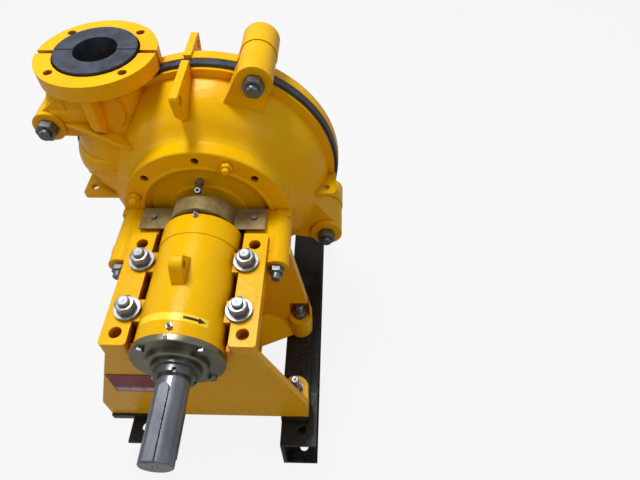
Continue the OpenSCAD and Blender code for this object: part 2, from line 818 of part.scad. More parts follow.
// Half shell and flange that carry the wet end
module rear_shell()
    difference() {
        union() {
            ycyl(ring_d / 2, ring_y - 20, ring_y - eps);
            ycyl(ring_bore_d / 2 + wall_t + 4, rear_wall_y, ring_y - eps);
        }
        ycyl(ring_bore_d / 2, plate_y, ring_y + 1);
        translate([-300, plate_y, shelf_z - 2]) cube([600, 600, 300]);
    }

// Cast pedestal with ledges, feet and stud bosses
module base_frame() color("goldenrod")
    difference() {
        union() {
            for (s = [0, 1]) mirror([s, 0, 0]) ledge();
            front_plate();
            rear_wall();
            foot_pads();
            rear_shell();
            for (s = [-1, 1]) {
                ycyl(stud_boss_d / 2, ring_y - stud_boss_l, ring_y - eps, s * ring_r, 0);
                translate([s > 0 ? ledge_in + ledge_w - 14 : -ring_r, ring_y - stud_boss_l,
                    -stud_boss_d / 2 + 6])
                    cube([ring_r - ledge_in - ledge_w + 14, stud_boss_l - eps, stud_boss_d - 6 - 4]);
                for (a = [135, 225]) let (p = pol(ring_r, a)) ycyl(24, ring_y - 40, ring_y - eps, p[0], p[1]);
            }
            for (y = [clamp_y1 - 10, clamp_y2 - 10])
                yplate(y, y + 20) translate([-ledge_in - 4, -175]) square([2 * ledge_in + 8, 150]);
            for (s = [-1, 1], y = [guard_screw_y])
                translate([s * guard_screw_x, y, shelf_z - 10]) cylinder(h = ledge_z - shelf_z + 10, r = 9);
            translate([-16, adjust_web_y, -175]) cube([32, 18, 62]);
            translate([-ledge_in - 4, adjust_web_y, -175]) cube([2 * ledge_in + 8, 18, 30]);
        }
        ycyl(barrel_r + slide_gap, plate_y - 40, ring_y + 1);
        translate([-barrel_r - slide_gap, ledge_y - 1, 0])
            cube([barrel_d + 2 * slide_gap, ledge_l + 20, 100]);
        for (s = [-1, 1], y = [clamp_y1, clamp_y2])
            translate([s * clamp_x, y, ledge_z - ledge_t - 1])
                cylinder(h = ledge_t + 2, r = clamp_r + seat_gap);
        for (s = [-1, 1], y = [ledge_y + 28, ledge_end - 33])
            translate([s * (ledge_in + 27), y, ledge_z - ledge_t - 1]) cylinder(h = ledge_t + 2, r = 13);
        for (p = foot_places()) translate([p[0], p[1], floor_z - 1])
            cylinder(h = pad_h + 2, r = foot_bolt_r + 1);
        for (p = foot_places()) if (p[1] > plate_y + 100) translate([p[0], p[1], floor_z + pad_h])
            cylinder(h = 60, r = 26);
        for (a = frame_stud_angles) let (p = pol(ring_r, a))
            ycyl(frame_stud_r + seat_gap, ring_y - stud_boss_l - 1, ring_y + 1, p[0], p[1]);
        for (s = [-1, 1]) translate([s * guard_screw_x, guard_screw_y, shelf_z - 12])
            cylinder(h = 60, r = 4 + seat_gap);
        for (a = [135, 225]) let (p = pol(ring_r, a)) ycyl(21, ring_y - 78, ring_y - 40, p[0], p[1]);
        for (a = [90, 270]) let (p = pol(ring_r, a))
            ycyl(20, ring_y - stud_boss_l - 34, ring_y - stud_boss_l, p[0], p[1]);
        for (a = [112.5, 202.5]) let (p = pol(ring_r, a)) ycyl(17, ring_y - 26, ring_y + 1, p[0], p[1]);
        ycyl(adjust_r + slide_gap, adjust_web_y - 1, adjust_web_y + 19, 0, adjust_z);
    }

// Steel plates under the feet
module sole_plates() color("black")
    difference() {
        union() {
            zplate(rail_top_z, floor_z) translate([rail_right_x, plate_y - 6])
                square([foot_w / 2 - rail_right_x, foot_pitch_y + 2 * foot_bolt_in]);
            zplate(rail_top_z, floor_z) translate([-foot_w / 2, plate_y - 6])
                square([foot_w / 2 + rail_left_x + rail_w, foot_pitch_y + 2 * foot_bolt_in]);
        }
        for (p = foot_places()) translate([p[0], p[1], rail_top_z - 1])
            cylinder(h = sole_t + 2, r = foot_bolt_r + 1);
    }

// One rail of channel section, open toward positive X
module rail(bolted)
    difference() {
        translate([0, rail_y, rail_top_z - rail_h]) cube([rail_w, rail_l, rail_h]);
        translate([rail_t, rail_y - 1, rail_top_z - rail_h + rail_t])
            cube([rail_w, rail_l + 2, rail_h - 2 * rail_t]);
        for (y = [rail_y + 40, rail_y + rail_l - 60]) translate([52, y, rail_top_z - rail_h - 1])
            cylinder(h = rail_h + 2, r = 11);
        if (bolted) for (i = [0, 1])
            translate([foot_pitch_x / 2 - rail_right_x, plate_y + foot_bolt_in + i * foot_pitch_y,
            rail_top_z - rail_t - 1]) cylinder(h = rail_t + 2, r = foot_bolt_r + 1);
    }

// Rail under the left foot
module rail_left() color("black") translate([rail_left_x + rail_w, 0, 0]) mirror([1, 0, 0]) rail(false);

// Rail under the right foot
module rail_right() color("black") translate([rail_right_x, 0, 0]) rail(true);

// Bottom of the foot bolt shank: through the rail on the right, under the sole plate on the left
function foot_bolt_z(x) = x > 0 ? rail_top_z - rail_t : rail_top_z;

// Foot bolts
module foot_bolts() color("silver")
    for (p = foot_places()) translate([p[0], p[1], 0]) {
        translate([0, 0, foot_bolt_z(p[0])])
            cylinder(h = floor_z + pad_h + 44 - foot_bolt_z(p[0]), r = foot_bolt_r);
        translate([0, 0, foot_bolt_z(p[0]) - 11]) cylinder(h = 11, r = foot_nut_af / sqrt(3), $fn = 6);
    }

// Washers of the foot bolts
module foot_washers() color("silver")
    for (p = foot_places()) translate([p[0], p[1], floor_z + pad_h]) difference() {
        cylinder(h = 3, r = 17);
        translate([0, 0, -1]) cylinder(h = 5, r = foot_bolt_r + seat_gap);
    }

// Nuts of the foot bolts
module foot_nuts() color("silver")
    for (p = foot_places())
        znut(foot_nut_af, foot_bolt_r + seat_gap, floor_z + pad_h + 3, floor_z + pad_h + 18, p[0], p[1]);

// Bolts through the casing bosses
module casing_bolts() color("gray")
    for (b = casing_bosses) ycyl(casing_bolt_r, front_face_y - 38, rear_face_y + 30, b[0], b[1]);

// Nuts on both ends of the casing bolts
module casing_nuts() color("gray")
    for (b = casing_bosses) {
        ynut(casing_nut_af, casing_bolt_r + seat_gap, front_face_y - 22, front_face_y, b[0], b[1], 10);
        ynut(casing_nut_af, casing_bolt_r + seat_gap, rear_face_y, rear_face_y + 22, b[0], b[1], 10);
    }

// Studs that join the pedestal to the frame ring
module frame_studs() color("silver")
    for (a = frame_stud_angles) let (p = pol(ring_r, a))
        ycyl(frame_stud_r, frame_nut_y(a) - 30, ring_y + 30, p[0], p[1]);

// Face of the pedestal boss under each frame stud nut
function frame_nut_y(a) = (a == 90 || a == 270) ? ring_y - stud_boss_l : ring_y - 40;

// Nuts of the frame studs
module frame_stud_nuts() color("silver")
    for (a = frame_stud_angles) let (p = pol(ring_r, a))
        ynut(frame_nut_af, frame_stud_r + seat_gap, frame_nut_y(a) - 16, frame_nut_y(a), p[0], p[1]);

// Angles of the liner studs from the top
liner_angles = [22.5, 112.5, 202.5, 292.5];

// Studs that hold the frame plate liner
module liner_studs() color("goldenrod")
    for (a = liner_angles) let (p = pol(ring_r, a))
        ycyl(ring_stud_r, ring_y - 22, wall_front_y, p[0], p[1]);

// Nuts of the liner studs
module liner_nuts() color("goldenrod")
    for (a = liner_angles) let (p = pol(ring_r, a))
        ynut(ring_nut_af, ring_stud_r + seat_gap, ring_y - 13, ring_y, p[0], p[1]);

// Studs that hold the cover plate liner
module cover_studs() color("goldenrod")
    for (i = [0:7]) let (p = pol(ring_r, i * 45))
        ycyl(ring_stud_r, wall_rear_y, rear_rim_y + 128, p[0], p[1]);

// Nuts of the cover studs
module cover_nuts() color("goldenrod")
    for (i = [0:7]) let (p = pol(ring_r, i * 45))
        ynut(ring_nut_af, ring_stud_r + seat_gap, rear_rim_y + 106, rear_rim_y + 119, p[0], p[1]);

// Studs in the ledges that clamp the bearing housing
module clamp_studs() color("lightgray")
    for (s = [-1, 1], y = [clamp_y1, clamp_y2])
        translate([s * clamp_x, y, ledge_z - ledge_t])
            cylinder(h = ledge_t + clamp_washer_t + 38, r = clamp_r);

// Thick washers that bridge a ledge and a housing lug
module clamp_washers() color("lightgray")
    for (s = [-1, 1], y = [clamp_y1, clamp_y2]) translate([s * clamp_x, y, ledge_z]) difference() {
        cylinder(h = clamp_washer_t, r = clamp_washer_r);
        translate([0, 0, -1]) cylinder(h = clamp_washer_t + 2, r = clamp_r + seat_gap);
    }

// Nuts of the clamp studs
module clamp_nuts() color("lightgray")
    for (s = [-1, 1], y = [clamp_y1, clamp_y2])
        znut(clamp_nut_af, clamp_r + seat_gap, ledge_z + clamp_washer_t, ledge_z + clamp_washer_t + 20,
            s * clamp_x, y, 15);

// Adjustment of the impeller clearance

adjust_r = 10;
adjust_z = -barrel_r - 34;
adjust_web_y = clamp_y1 + 22;

// Threaded rod fixed in the lug under the bearing housing
module adjusting_screw() color("silver")
    ycyl(adjust_r, adjust_web_y - 7, adjust_web_y + 83, 0, adjust_z);

// Nut that is held between the two webs and moves the rod
module adjusting_nut() color("silver")
    ynut(30, adjust_r + 0.05, adjust_web_y + 18.05, adjust_web_y + 36, 0, adjust_z);

// Sheet guard over the gland
guard_y = barrel_end + 3;
guard_end = ring_y - 9;
guard_screw_x = 118;
guard_screw_y = guard_y + 34;
module gland_guard() color("rosybrown")
    difference() {
        yplate(guard_y, guard_end) difference() {
            union() {
                translate([0, ledge_z]) circle(r = guard_r);
                translate([-147, ledge_z]) square([294, guard_t]);
            }
            translate([0, ledge_z]) circle(r = guard_r - guard_t);
            translate([-guard_r, ledge_z - guard_r]) square([2 * guard_r, guard_r]);
        }
        for (s = [-1, 1]) translate([s * guard_screw_x, guard_screw_y, ledge_z - 1])
            cylinder(h = guard_t + 2, r = 4 + seat_gap);
        translate([-guard_r - 5, guard_end - 2, ledge_z + guard_t + 2]) rotate([19, 0, 0])
            cube([2 * guard_r + 10, 60, guard_r + 30]);
    }

// Screws of the guard
module guard_screws() color("silver")
    for (s = [-1, 1]) translate([s * guard_screw_x, guard_screw_y, 0]) {
        translate([0, 0, shelf_z - 10]) cylinder(h = ledge_z + guard_t - shelf_z + 10, r = 4);
        translate([0, 0, ledge_z + guard_t]) cylinder(h = 6, r = 7.5, $fn = 6);
    }

// Blank plate on the front of the pedestal
module name_plate() color("firebrick")
    yplate(plate_y - 1.5, plate_y) translate([58 - foot_w / 2, -190]) square([100, 86]);

// Bearing assembly

// Side lugs that the clamp washers hold
module housing_lugs()
    for (s = [-1, 1], y = [clamp_y1, clamp_y2])
        translate([s > 0 ? barrel_r - 18 : -ledge_in + slide_gap, y - 26, 0])
            cube([ledge_in - barrel_r + 18 - slide_gap, 52, ledge_z]);

// Cast barrel that holds both bearings
module bearing_housing() color("goldenrod")
    difference() {
        union() {
            yrev([
                [bearing_r, barrel_y], [barrel_r - 2, barrel_y], [barrel_r - 1, barrel_y + 1],
                [barrel_r - 1, barrel_end - 56], [barrel_r, barrel_end - 54], [barrel_r, barrel_end - 2],
                [barrel_r - 2, barrel_end], [bearing_r, barrel_end]
            ]);
            housing_lugs();
            lifting_fin();
            translate([-14, adjust_web_y + 56, -barrel_r - 52]) cube([28, 24, 60]);
        }
        ycyl(bearing_r + seat_gap / 2, barrel_y - 1, bearing1_y + bearing_w);
        ycyl(bearing_r + seat_gap / 2, bearing2_y, barrel_end + 1);
        ycyl(bearing_r - 9, barrel_y, barrel_end);
        ycyl(adjust_r, adjust_web_y + 55, adjust_web_y + 81, 0, adjust_z);
        ycyl(recess_r, barrel_end - cover_t, barrel_end + 1);
        for (i = [0:3]) let (p = pol(cover_screw_pcr, 45 + i * 90))
            ycyl(cover_screw_r, barrel_y - 1, barrel_y + 25, p[0], p[1]);
        for (i = [0:3]) let (p = pol(wet_screw_pcr, 45 + i * 90))
            ycyl(wet_screw_r, barrel_end - cover_t - 25, barrel_end - cover_t + 1, p[0], p[1]);
        for (y = [barrel_y + 16, barrel_end - 7]) translate([0, y, barrel_r - 30]) cylinder(h = 40, r = 4);
    }

// Fin with an eye for lifting the bearing assembly
fin_x = -3.5;
fin_y = barrel_y + 112.5;
module lifting_fin()
    difference() {
        xplate(fin_x - fin_t / 2, fin_x + fin_t / 2)
            polygon([
                [fin_y, barrel_r - 14], [fin_y, barrel_r], [fin_y + 11, barrel_r + fin_h - 15],
                [fin_y + 15, barrel_r + fin_h - 7], [fin_y + 21, barrel_r + fin_h - 2],
                [fin_y + 29, barrel_r + fin_h],
                [fin_y + 37, barrel_r + fin_h - 1], [fin_y + 41, barrel_r + fin_h - 5],
                [fin_y + 67, barrel_r], [fin_y + 67, barrel_r - 14]
            ]);
        translate([fin_x - fin_t, fin_y + 29, barrel_r + fin_h - 19]) rotate([0, 90, 0])
            cylinder(h = 2 * fin_t, r = 8);
    }

// End cover, drawn for the drive end from its outer face inward.
// r is the radius of its flange and spigot_l is its reach past that.
module end_cover(outer_y, r, spigot_l)
    difference() {
        yrev([
            [labyrinth_r + run_gap, outer_y - 12], [cover_boss_d / 2 - 3, outer_y - 12],
            [cover_boss_d / 2, outer_y - 9], [cover_boss_d / 2, outer_y], [r - 2, outer_y],
            [r, outer_y + 2], [r, outer_y + cover_t], [bearing_r, outer_y + cover_t],
            [bearing_r, outer_y + cover_t + spigot_l - seat_gap],
            [bearing_r - 10, outer_y + cover_t + spigot_l - seat_gap],
            [bearing_r - 10, outer_y + 6], [labyrinth_r + run_gap, outer_y + 6]
        ]);
        children();
    }

// Mirrors a part of the drive end to the wet end of the barrel
module wet_end()
    translate([0, barrel_y + barrel_end, 0]) mirror([0, 1, 0]) children();

// Cover at the drive end
module end_cover_drive() color("dimgray")
    end_cover(cover_y, cover_d / 2, bearing1_y - barrel_y)
        for (i = [0:3]) let (p = pol(cover_screw_pcr, 45 + i * 90))
            ycyl(cover_screw_r + seat_gap, cover_y - 1, cover_y + cover_t + 1, p[0], p[1]);

// Cover at the wet end, let into the barrel because the guard is close
module end_cover_wet() color("dimgray") wet_end() translate([0, -shim_t, 0])
    end_cover(barrel_y, recess_r - seat_gap, bearing1_y - barrel_y - cover_t)
        for (i = [0:3]) let (p = pol(wet_screw_pcr, 45 + i * 90)) {
            ycyl(wet_screw_r + seat_gap, barrel_y - 1, barrel_y + cover_t + 1, p[0], p[1]);
            ycyl(wet_head_r + seat_gap, barrel_y - 1, barrel_y + 6, p[0], p[1]);
        }

// Hexagon screws of the drive end cover
module cover_screws_drive() color("silver")
    for (i = [0:3]) let (p = pol(cover_screw_pcr, 45 + i * 90)) {
        ycyl(cover_screw_r, cover_y, cover_y + cover_t + 22, p[0], p[1]);
        yhex(16, cover_y - 7, cover_y, p[0], p[1], i * 25);
    }

// Socket screws of the wet end cover, sunk flush
module cover_screws_wet() color("silver") wet_end() translate([0, -shim_t, 0])
    for (i = [0:3]) let (p = pol(wet_screw_pcr, 45 + i * 90)) difference() {
        union() {
            ycyl(wet_screw_r, barrel_y + 0.5, barrel_y + cover_t + 20, p[0], p[1]);
            ycyl(wet_head_r, barrel_y + 0.5, barrel_y + 6, p[0], p[1]);
        }
        yhex(5, barrel_y - 1, barrel_y + 4, p[0], p[1]);
    }

// Thin shims between the wet end cover and the barrel
module cover_shims() color("khaki") {
    difference() {
        yring(recess_r - 1, bearing_r + 1, barrel_end - cover_t, barrel_end - cover_t + shim_t);
        for (i = [0:3]) let (p = pol(wet_screw_pcr, 45 + i * 90))
            ycyl(wet_screw_r + seat_gap, barrel_end - cover_t - 1, barrel_end - cover_t + 2, p[0], p[1]);
    }
}

// Outer race of a tapered roller bearing, thick end toward the barrel centre
cup_thin = 8;
cup_thick = 15;
cone_taper = cup_thick - cup_thin;
module bearing_cup(y0)
    yrev([
        [bearing_r, y0], [bearing_r, y0 + bearing_w], [bearing_r - cup_thick, y0 + bearing_w],
        [bearing_r - cup_thin, y0]
    ]);

module bearing_cup_drive() color("lightgray") bearing_cup(bearing1_y);

module bearing_cup_wet() color("lightgray") wet_end() bearing_cup(bearing1_y);

// Inner race of a tapered roller bearing
module bearing_cone(y0)
    yrev([
        [journal_r, y0], [bearing_r - cup_thin - roller_d - 1, y0],
        [bearing_r - cup_thick - roller_d - 1, y0 + bearing_w], [journal_r, y0 + bearing_w]
    ]);

module bearing_cone_drive() color("lightgray") bearing_cone(bearing1_y);

module bearing_cone_wet() color("lightgray") wet_end() bearing_cone(bearing1_y);

// Rollers and their cage
roller_mid_r = bearing_r - (cup_thin + cup_thick) / 2 - roller_d / 2 - 0.5;
roller_lean = atan(cone_taper / bearing_w);
module roller_set(y0) {
    for (i = [0:roller_count - 1]) rotate([0, i * 360 / roller_count, 0])
        translate([0, y0 + bearing_w / 2, roller_mid_r]) rotate([90 - roller_lean, 0, 0])
            cylinder(h = bearing_w - 12, r = roller_d / 2, center = true, $fn = 48);
    for (e = [0, 1])
        let (y = e ? y0 + bearing_w - 9 : y0 + 3, r = roller_mid_r + (e ? -1 : 1) * cone_taper * 0.4)
        yring(r + 3.5, r - 3.5, y, y + 6);
}

module roller_set_drive() color("silver") roller_set(bearing1_y);

module roller_set_wet() color("silver") wet_end() roller_set(bearing1_y);

// Grease nipples on top of the barrel
module grease_nipples() color("silver")
    for (n = [[barrel_y + 16, 16], [barrel_end - 7, 3.4]]) translate([0, n[0], barrel_r]) {
        translate([0, 0, -n[1]]) cylinder(h = n[1] + 3, r = 4);
        translate([0, 0, 0.5]) cylinder(h = 5, r = 6.5, $fn = 6);
        translate([0, 0, 5.5]) cylinder(h = 5, r = 3);
        translate([0, 0, 10.5]) sphere(r = 3.6, $fn = 32);
    }

// Rotor

// Keyway and key share one place
module key_place() rotate([0, key_turn, 0]) translate([0, 0, shaft_d / 2 - 6.5]) children();

// Key outline, rounded at its inner end and open at the end of the shaft
module key_outline(y0 = 1) {
    translate([0, key_l - key_w / 2]) circle(r = key_w / 2);
    translate([-key_w / 2, y0]) square([key_w, key_l - key_w / 2 - y0]);
}

// Main shaft
module shaft() color("silver")
    difference() {
        yrev([
            [0, 0], [shaft_d / 2 - 2, 0], [shaft_d / 2, 2], [shaft_d / 2, labyrinth_y + 40],
            [journal_r, labyrinth_y + 42], [journal_r, bearing1_y + bearing_w],
            [shaft_mid_d / 2, bearing1_y + bearing_w],
            [shaft_mid_d / 2, bearing2_y], [journal_r, bearing2_y], [journal_r, barrel_end + 26],
            [shaft_wet_d / 2, barrel_end + 28], [shaft_wet_d / 2, impeller_y - 6],
            [thread_d / 2, impeller_y - 6],
            [thread_d / 2, shaft_end_y - 3], [thread_d / 2 - 3, shaft_end_y], [0, shaft_end_y]
        ]);
        key_place() linear_extrude(20) key_outline(-5);
        translate([0, -1, 0]) rotate([-90, 0, 0]) cylinder(h = 12, r1 = 7, r2 = 3);
    }

// Coupling key, which stands proud of the shaft
module shaft_key() color("silver")
    key_place() linear_extrude(key_h) key_outline();

// Grease labyrinth with spanner notches at the drive end
module labyrinth(y0)
    difference() {
        yrev([
            [shaft_d / 2, y0], [42, y0], [44, y0 + 2], [44, y0 + 14], [labyrinth_r, y0 + 16],
            [labyrinth_r, y0 + 34], [shaft_d / 2, y0 + 34]
        ]);
        for (i = [0:3]) rotate([0, i * 90 + 12, 0]) translate([-4, y0 - 1, 38]) cube([8, 9, 10]);
    }

module labyrinth_drive() color("gray") labyrinth(labyrinth_y);

// Labyrinth and thrower ring at the wet end
module labyrinth_wet() color("gray")
    yrev([
        [journal_r, barrel_end + 1], [labyrinth_r, barrel_end + 1], [labyrinth_r, barrel_end + 20],
        [labyrinth_r - 6, barrel_end + 25], [journal_r, barrel_end + 25]
    ]);

// Lock nut that holds the drive end bearing
module lock_nut() color("gray")
    difference() {
        yring(46, journal_r, bearing1_y - 14, bearing1_y);
        for (i = [0:3]) rotate([0, i * 90, 0]) translate([-4, bearing1_y - 15, 42]) cube([8, 16, 10]);
    }

// Spacer between the wet end labyrinth and the sleeve
module shaft_spacer() color("gray")
    yring(sleeve_r - 6, shaft_wet_d / 2, barrel_end + 28, gland_y - 16);

// Hard sleeve that runs in the packing
module shaft_sleeve() color("silver")
    yring(sleeve_r, shaft_wet_d / 2, gland_y - 16, impeller_y - 6);

// Outline of one curved main vane, as a spiral band in the impeller plane
vane_r0 = 62;
vane_sweep = 105;
vane_steps = 14;
function vane_at(i) = let (t = i / vane_steps)
    [vane_r0 + (impeller_d / 2 - 2 - vane_r0) * t, -vane_sweep * t];
function vane_side(side) = [for (i = [0:vane_steps])
    let (v = vane_at(i), half = vane_t / 2 * (i == vane_steps ? 0.5 : 1))
    pol(v[0], v[1] + side * half / v[0] * 180 / PI / cos(35))];
module main_vane()
    let (up = vane_side(1), low = vane_side(-1))
        polygon(concat(up, [for (i = [vane_steps:-1:0]) low[i]]));

// Closed rubber-pump impeller with expelling vanes on both shrouds
module impeller() color("gray")
    difference() {
        union() {
            ycyl(impeller_d / 2, impeller_y, impeller_y + shroud_t);
            yring(impeller_d / 2, eye_d / 2, impeller_y + impeller_w - shroud_t, impeller_y + impeller_w);
            yplate(impeller_y + shroud_t - 1, impeller_y + impeller_w - shroud_t + 1)
                for (i = [0:vane_count - 1]) rotate(-i * 360 / vane_count) main_vane();
            yrev([
                [thread_d / 2 - 2, impeller_y - 6], [sleeve_r, impeller_y - 6],
                [sleeve_r + 14, impeller_y + shroud_t],
                [sleeve_r + 4, impeller_y + 40], [thread_d / 2 + 12, impeller_y + 62], [0, impeller_y + 68],
                [0, impeller_y + 20]
            ]);
            for (i = [0:expeller_count - 1]) rotate([0, i * 360 / expeller_count, 0]) {
                expelling_vane(impeller_y - expeller_h, impeller_y + 1, sleeve_r + 26);
                expelling_vane(impeller_y + impeller_w - 1, impeller_y + impeller_w + expeller_h,
                    eye_d / 2 + 14);
            }
        }
        ycyl(thread_d / 2, impeller_y - 20, shaft_end_y);
    }

// Short leaning rib on a shroud
module expelling_vane(y0, y1, r0)
    yplate(y0, y1)
        polygon([pol(r0, 0), pol(impeller_d / 2 - 3, -16), pol(impeller_d / 2 - 3, -20), pol(r0, -7)]);

// Drawing

base_frame();
sole_plates();
rail_left();
rail_right();
foot_bolts();
foot_washers();
foot_nuts();
frame_plate();
cover_plate();
frame_plate_liner();
cover_plate_liner();
liner_insert();
throat_bush();
intake_joint();
stuffing_box();
lantern_ring();
packing_rings();
gland();
gland_studs();
gland_nuts();
casing_bolts();
casing_nuts();
frame_studs();
frame_stud_nuts();
liner_studs();
liner_nuts();
cover_studs();
cover_nuts();
clamp_studs();
clamp_washers();
clamp_nuts();
adjusting_screw();
adjusting_nut();
gland_guard();
guard_screws();
water_nipple();
name_plate();
bearing_housing();
end_cover_drive();
end_cover_wet();
cover_screws_drive();
cover_screws_wet();
cover_shims();
bearing_cup_drive();
bearing_cup_wet();
grease_nipples();
shaft();
shaft_key();
impeller();
shaft_sleeve();
shaft_spacer();
labyrinth_drive();
labyrinth_wet();
bearing_cone_drive();
bearing_cone_wet();
lock_nut();
roller_set_drive();
roller_set_wet();
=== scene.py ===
"""Looks of the rubber-lined slurry pump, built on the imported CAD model.

The scene is in metres. The points of the added pieces are written in millimetres.
"""

import json
import math

import bmesh
import bpy
import numpy as np
from mathutils import Matrix, Vector


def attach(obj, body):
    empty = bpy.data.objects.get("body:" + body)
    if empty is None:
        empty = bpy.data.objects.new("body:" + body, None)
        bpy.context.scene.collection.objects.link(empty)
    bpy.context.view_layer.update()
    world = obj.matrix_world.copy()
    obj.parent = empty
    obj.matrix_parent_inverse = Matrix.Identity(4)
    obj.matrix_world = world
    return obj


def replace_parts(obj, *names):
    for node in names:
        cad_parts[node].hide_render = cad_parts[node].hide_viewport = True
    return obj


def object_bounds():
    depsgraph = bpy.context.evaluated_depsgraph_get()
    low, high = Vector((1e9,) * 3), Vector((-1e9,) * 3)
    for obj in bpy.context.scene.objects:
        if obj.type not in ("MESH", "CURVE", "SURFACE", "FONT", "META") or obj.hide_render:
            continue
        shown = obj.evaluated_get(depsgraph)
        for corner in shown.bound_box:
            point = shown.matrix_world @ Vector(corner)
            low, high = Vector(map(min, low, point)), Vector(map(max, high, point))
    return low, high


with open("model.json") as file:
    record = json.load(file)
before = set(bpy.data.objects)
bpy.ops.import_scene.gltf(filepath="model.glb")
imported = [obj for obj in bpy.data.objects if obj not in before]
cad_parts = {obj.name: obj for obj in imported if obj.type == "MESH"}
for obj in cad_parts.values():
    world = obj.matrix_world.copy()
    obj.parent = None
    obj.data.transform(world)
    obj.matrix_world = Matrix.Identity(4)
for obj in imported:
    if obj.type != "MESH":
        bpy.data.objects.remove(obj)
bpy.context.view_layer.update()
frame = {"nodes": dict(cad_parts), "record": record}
nodes = frame["nodes"]
scene = bpy.context.scene


# Colours

def srgb(r, g, b):
    """Linear colour of an sRGB colour given from 0 to 255."""
    def lin(v):
        v /= 255.0
        return v / 12.92 if v <= 0.04045 else ((v + 0.055) / 1.055) ** 2.4
    return (lin(r), lin(g), lin(b), 1.0)


def shade(colour, factor):
    """A colour made darker or lighter by a factor."""
    return tuple(c * factor for c in colour[:3]) + (1.0,)


BLACK = (0.0, 0.0, 0.0, 1.0)
WHITE = (1.0, 1.0, 1.0, 1.0)
MID_GREY = (0.5, 0.5, 0.5, 1.0)

YELLOW = srgb(242, 189, 6)
YELLOW_WARM = srgb(236, 177, 4)
# Painted shade: the more orange yellow of steeply sloped faces, which turn away from the light above.
YELLOW_SIDE_SHADE = srgb(240, 173, 2)
# Painted shade: the yellows of corners and of the darkest creases.
YELLOW_SHADE = srgb(194, 112, 0)
YELLOW_CREASE_SHADE = srgb(92, 50, 0)
YELLOW_GLEAM = (1.0, 0.7, 0.22, 1.0)


# Shader building blocks

def new_material(name, metallic=0.0, roughness=0.5, coat=0.0, coat_roughness=0.1, specular=0.5):
    """A material with a Principled shader, and its node tree and shader."""
    mat = bpy.data.materials.new(name)
    mat.use_nodes = True
    tree = mat.node_tree
    shader = tree.nodes["Principled BSDF"]
    shader.inputs["Metallic"].default_value = metallic
    shader.inputs["Roughness"].default_value = roughness
    shader.inputs["Coat Weight"].default_value = coat
    shader.inputs["Coat Roughness"].default_value = coat_roughness
    shader.inputs["Specular IOR Level"].default_value = specular
    return mat, tree, shader


def node(tree, kind, **values):
    """A node of the tree, with its inputs or settings given by name."""
    made = tree.nodes.new(kind)
    for key, value in values.items():
        if key in made.inputs:
            made.inputs[key].default_value = value
        else:
            setattr(made, key, value)
    return made


def noise(tree, scale, detail=4.0, rough=0.55, stretch=None):
    """Noise in object space, stretched along the axes if asked."""
    coord = node(tree, "ShaderNodeTexCoord")
    made = node(tree, "ShaderNodeTexNoise", Scale=scale, Detail=detail, Roughness=rough)
    out = coord.outputs["Object"]
    if stretch:
        mapping = node(tree, "ShaderNodeMapping", Scale=stretch)
        tree.links.new(out, mapping.inputs["Vector"])
        out = mapping.outputs["Vector"]
    tree.links.new(out, made.inputs["Vector"])
    return made.outputs["Fac"]


def turned(tree, scale):
    """Fine rings about the shaft axis, as a lathe leaves them."""
    coord = node(tree, "ShaderNodeTexCoord")
    apart = node(tree, "ShaderNodeSeparateXYZ")
    tree.links.new(coord.outputs["Object"], apart.inputs["Vector"])
    flat = node(tree, "ShaderNodeCombineXYZ")
    tree.links.new(apart.outputs["X"], flat.inputs["X"])
    tree.links.new(apart.outputs["Z"], flat.inputs["Z"])
    reach = node(tree, "ShaderNodeVectorMath", operation="LENGTH")
    tree.links.new(flat.outputs["Vector"], reach.inputs[0])
    place = node(tree, "ShaderNodeCombineXYZ")
    tree.links.new(reach.outputs["Value"], place.inputs["X"])
    tree.links.new(apart.outputs["Y"], place.inputs["Y"])
    made = node(tree, "ShaderNodeTexNoise", Scale=scale, Detail=3.0)
    tree.links.new(place.outputs["Vector"], made.inputs["Vector"])
    return made.outputs["Fac"]


def ramp(tree, source, stops):
    """Colour ramp from (place, colour) stops."""
    made = node(tree, "ShaderNodeValToRGB")
    elements = made.color_ramp.elements
    while len(elements) < len(stops):
        elements.new(0.5)
    for element, (place, colour) in zip(elements, stops):
        element.position = place
        element.color = colour
    tree.links.new(source, made.inputs["Fac"])
    return made.outputs["Color"]


# Places of a colour Mix node's own sockets among those of all its data types
MIX_FACTOR, MIX_A, MIX_B, MIX_RESULT = 0, 6, 7, 2


def mix(tree, factor, a, b):
    """Mix of two colours or sockets by a socket."""
    made = node(tree, "ShaderNodeMix", data_type="RGBA")
    for socket, value in ((MIX_FACTOR, factor), (MIX_A, a), (MIX_B, b)):
        if isinstance(value, bpy.types.NodeSocket):
            tree.links.new(value, made.inputs[socket])
        else:
            made.inputs[socket].default_value = value
    return made.outputs[MIX_RESULT]


def finish(tree, shader, edge, layers):
    """Edges rounded by a radius, then stacked bumps from (height socket, strength, distance) layers."""
    soft = node(tree, "ShaderNodeBevel", samples=4, Radius=edge)
    normal = soft.outputs["Normal"]
    for height, strength, distance in layers:
        bump = node(tree, "ShaderNodeBump", Strength=strength, Distance=distance)
        tree.links.new(height, bump.inputs["Height"])
        tree.links.new(normal, bump.inputs["Normal"])
        normal = bump.outputs["Normal"]
    tree.links.new(normal, shader.inputs["Normal"])
    tree.links.new(normal, shader.inputs["Coat Normal"])


def rough_from(tree, shader, source, low, high):
    """Roughness between two values, driven by a texture."""
    span = node(tree, "ShaderNodeMapRange")
    span.inputs["From Min"].default_value = 0.3
    span.inputs["From Max"].default_value = 0.7
    span.inputs["To Min"].default_value = low
    span.inputs["To Max"].default_value = high
    tree.links.new(source, span.inputs["Value"])
    tree.links.new(span.outputs["Result"], shader.inputs["Roughness"])


def crevices(tree, distance):
    """Ambient occlusion, which is dark in corners and crevices."""
    return node(tree, "ShaderNodeAmbientOcclusion", Distance=distance, samples=8).outputs["AO"]


# Materials

# Radius in metres to which the edges of a form look rounded
EDGE_CAST, EDGE_ROLLED, EDGE_CUT, EDGE_FILM, EDGE_PRINT = 0.003, 0.0015, 0.0008, 0.0002, 0.0001


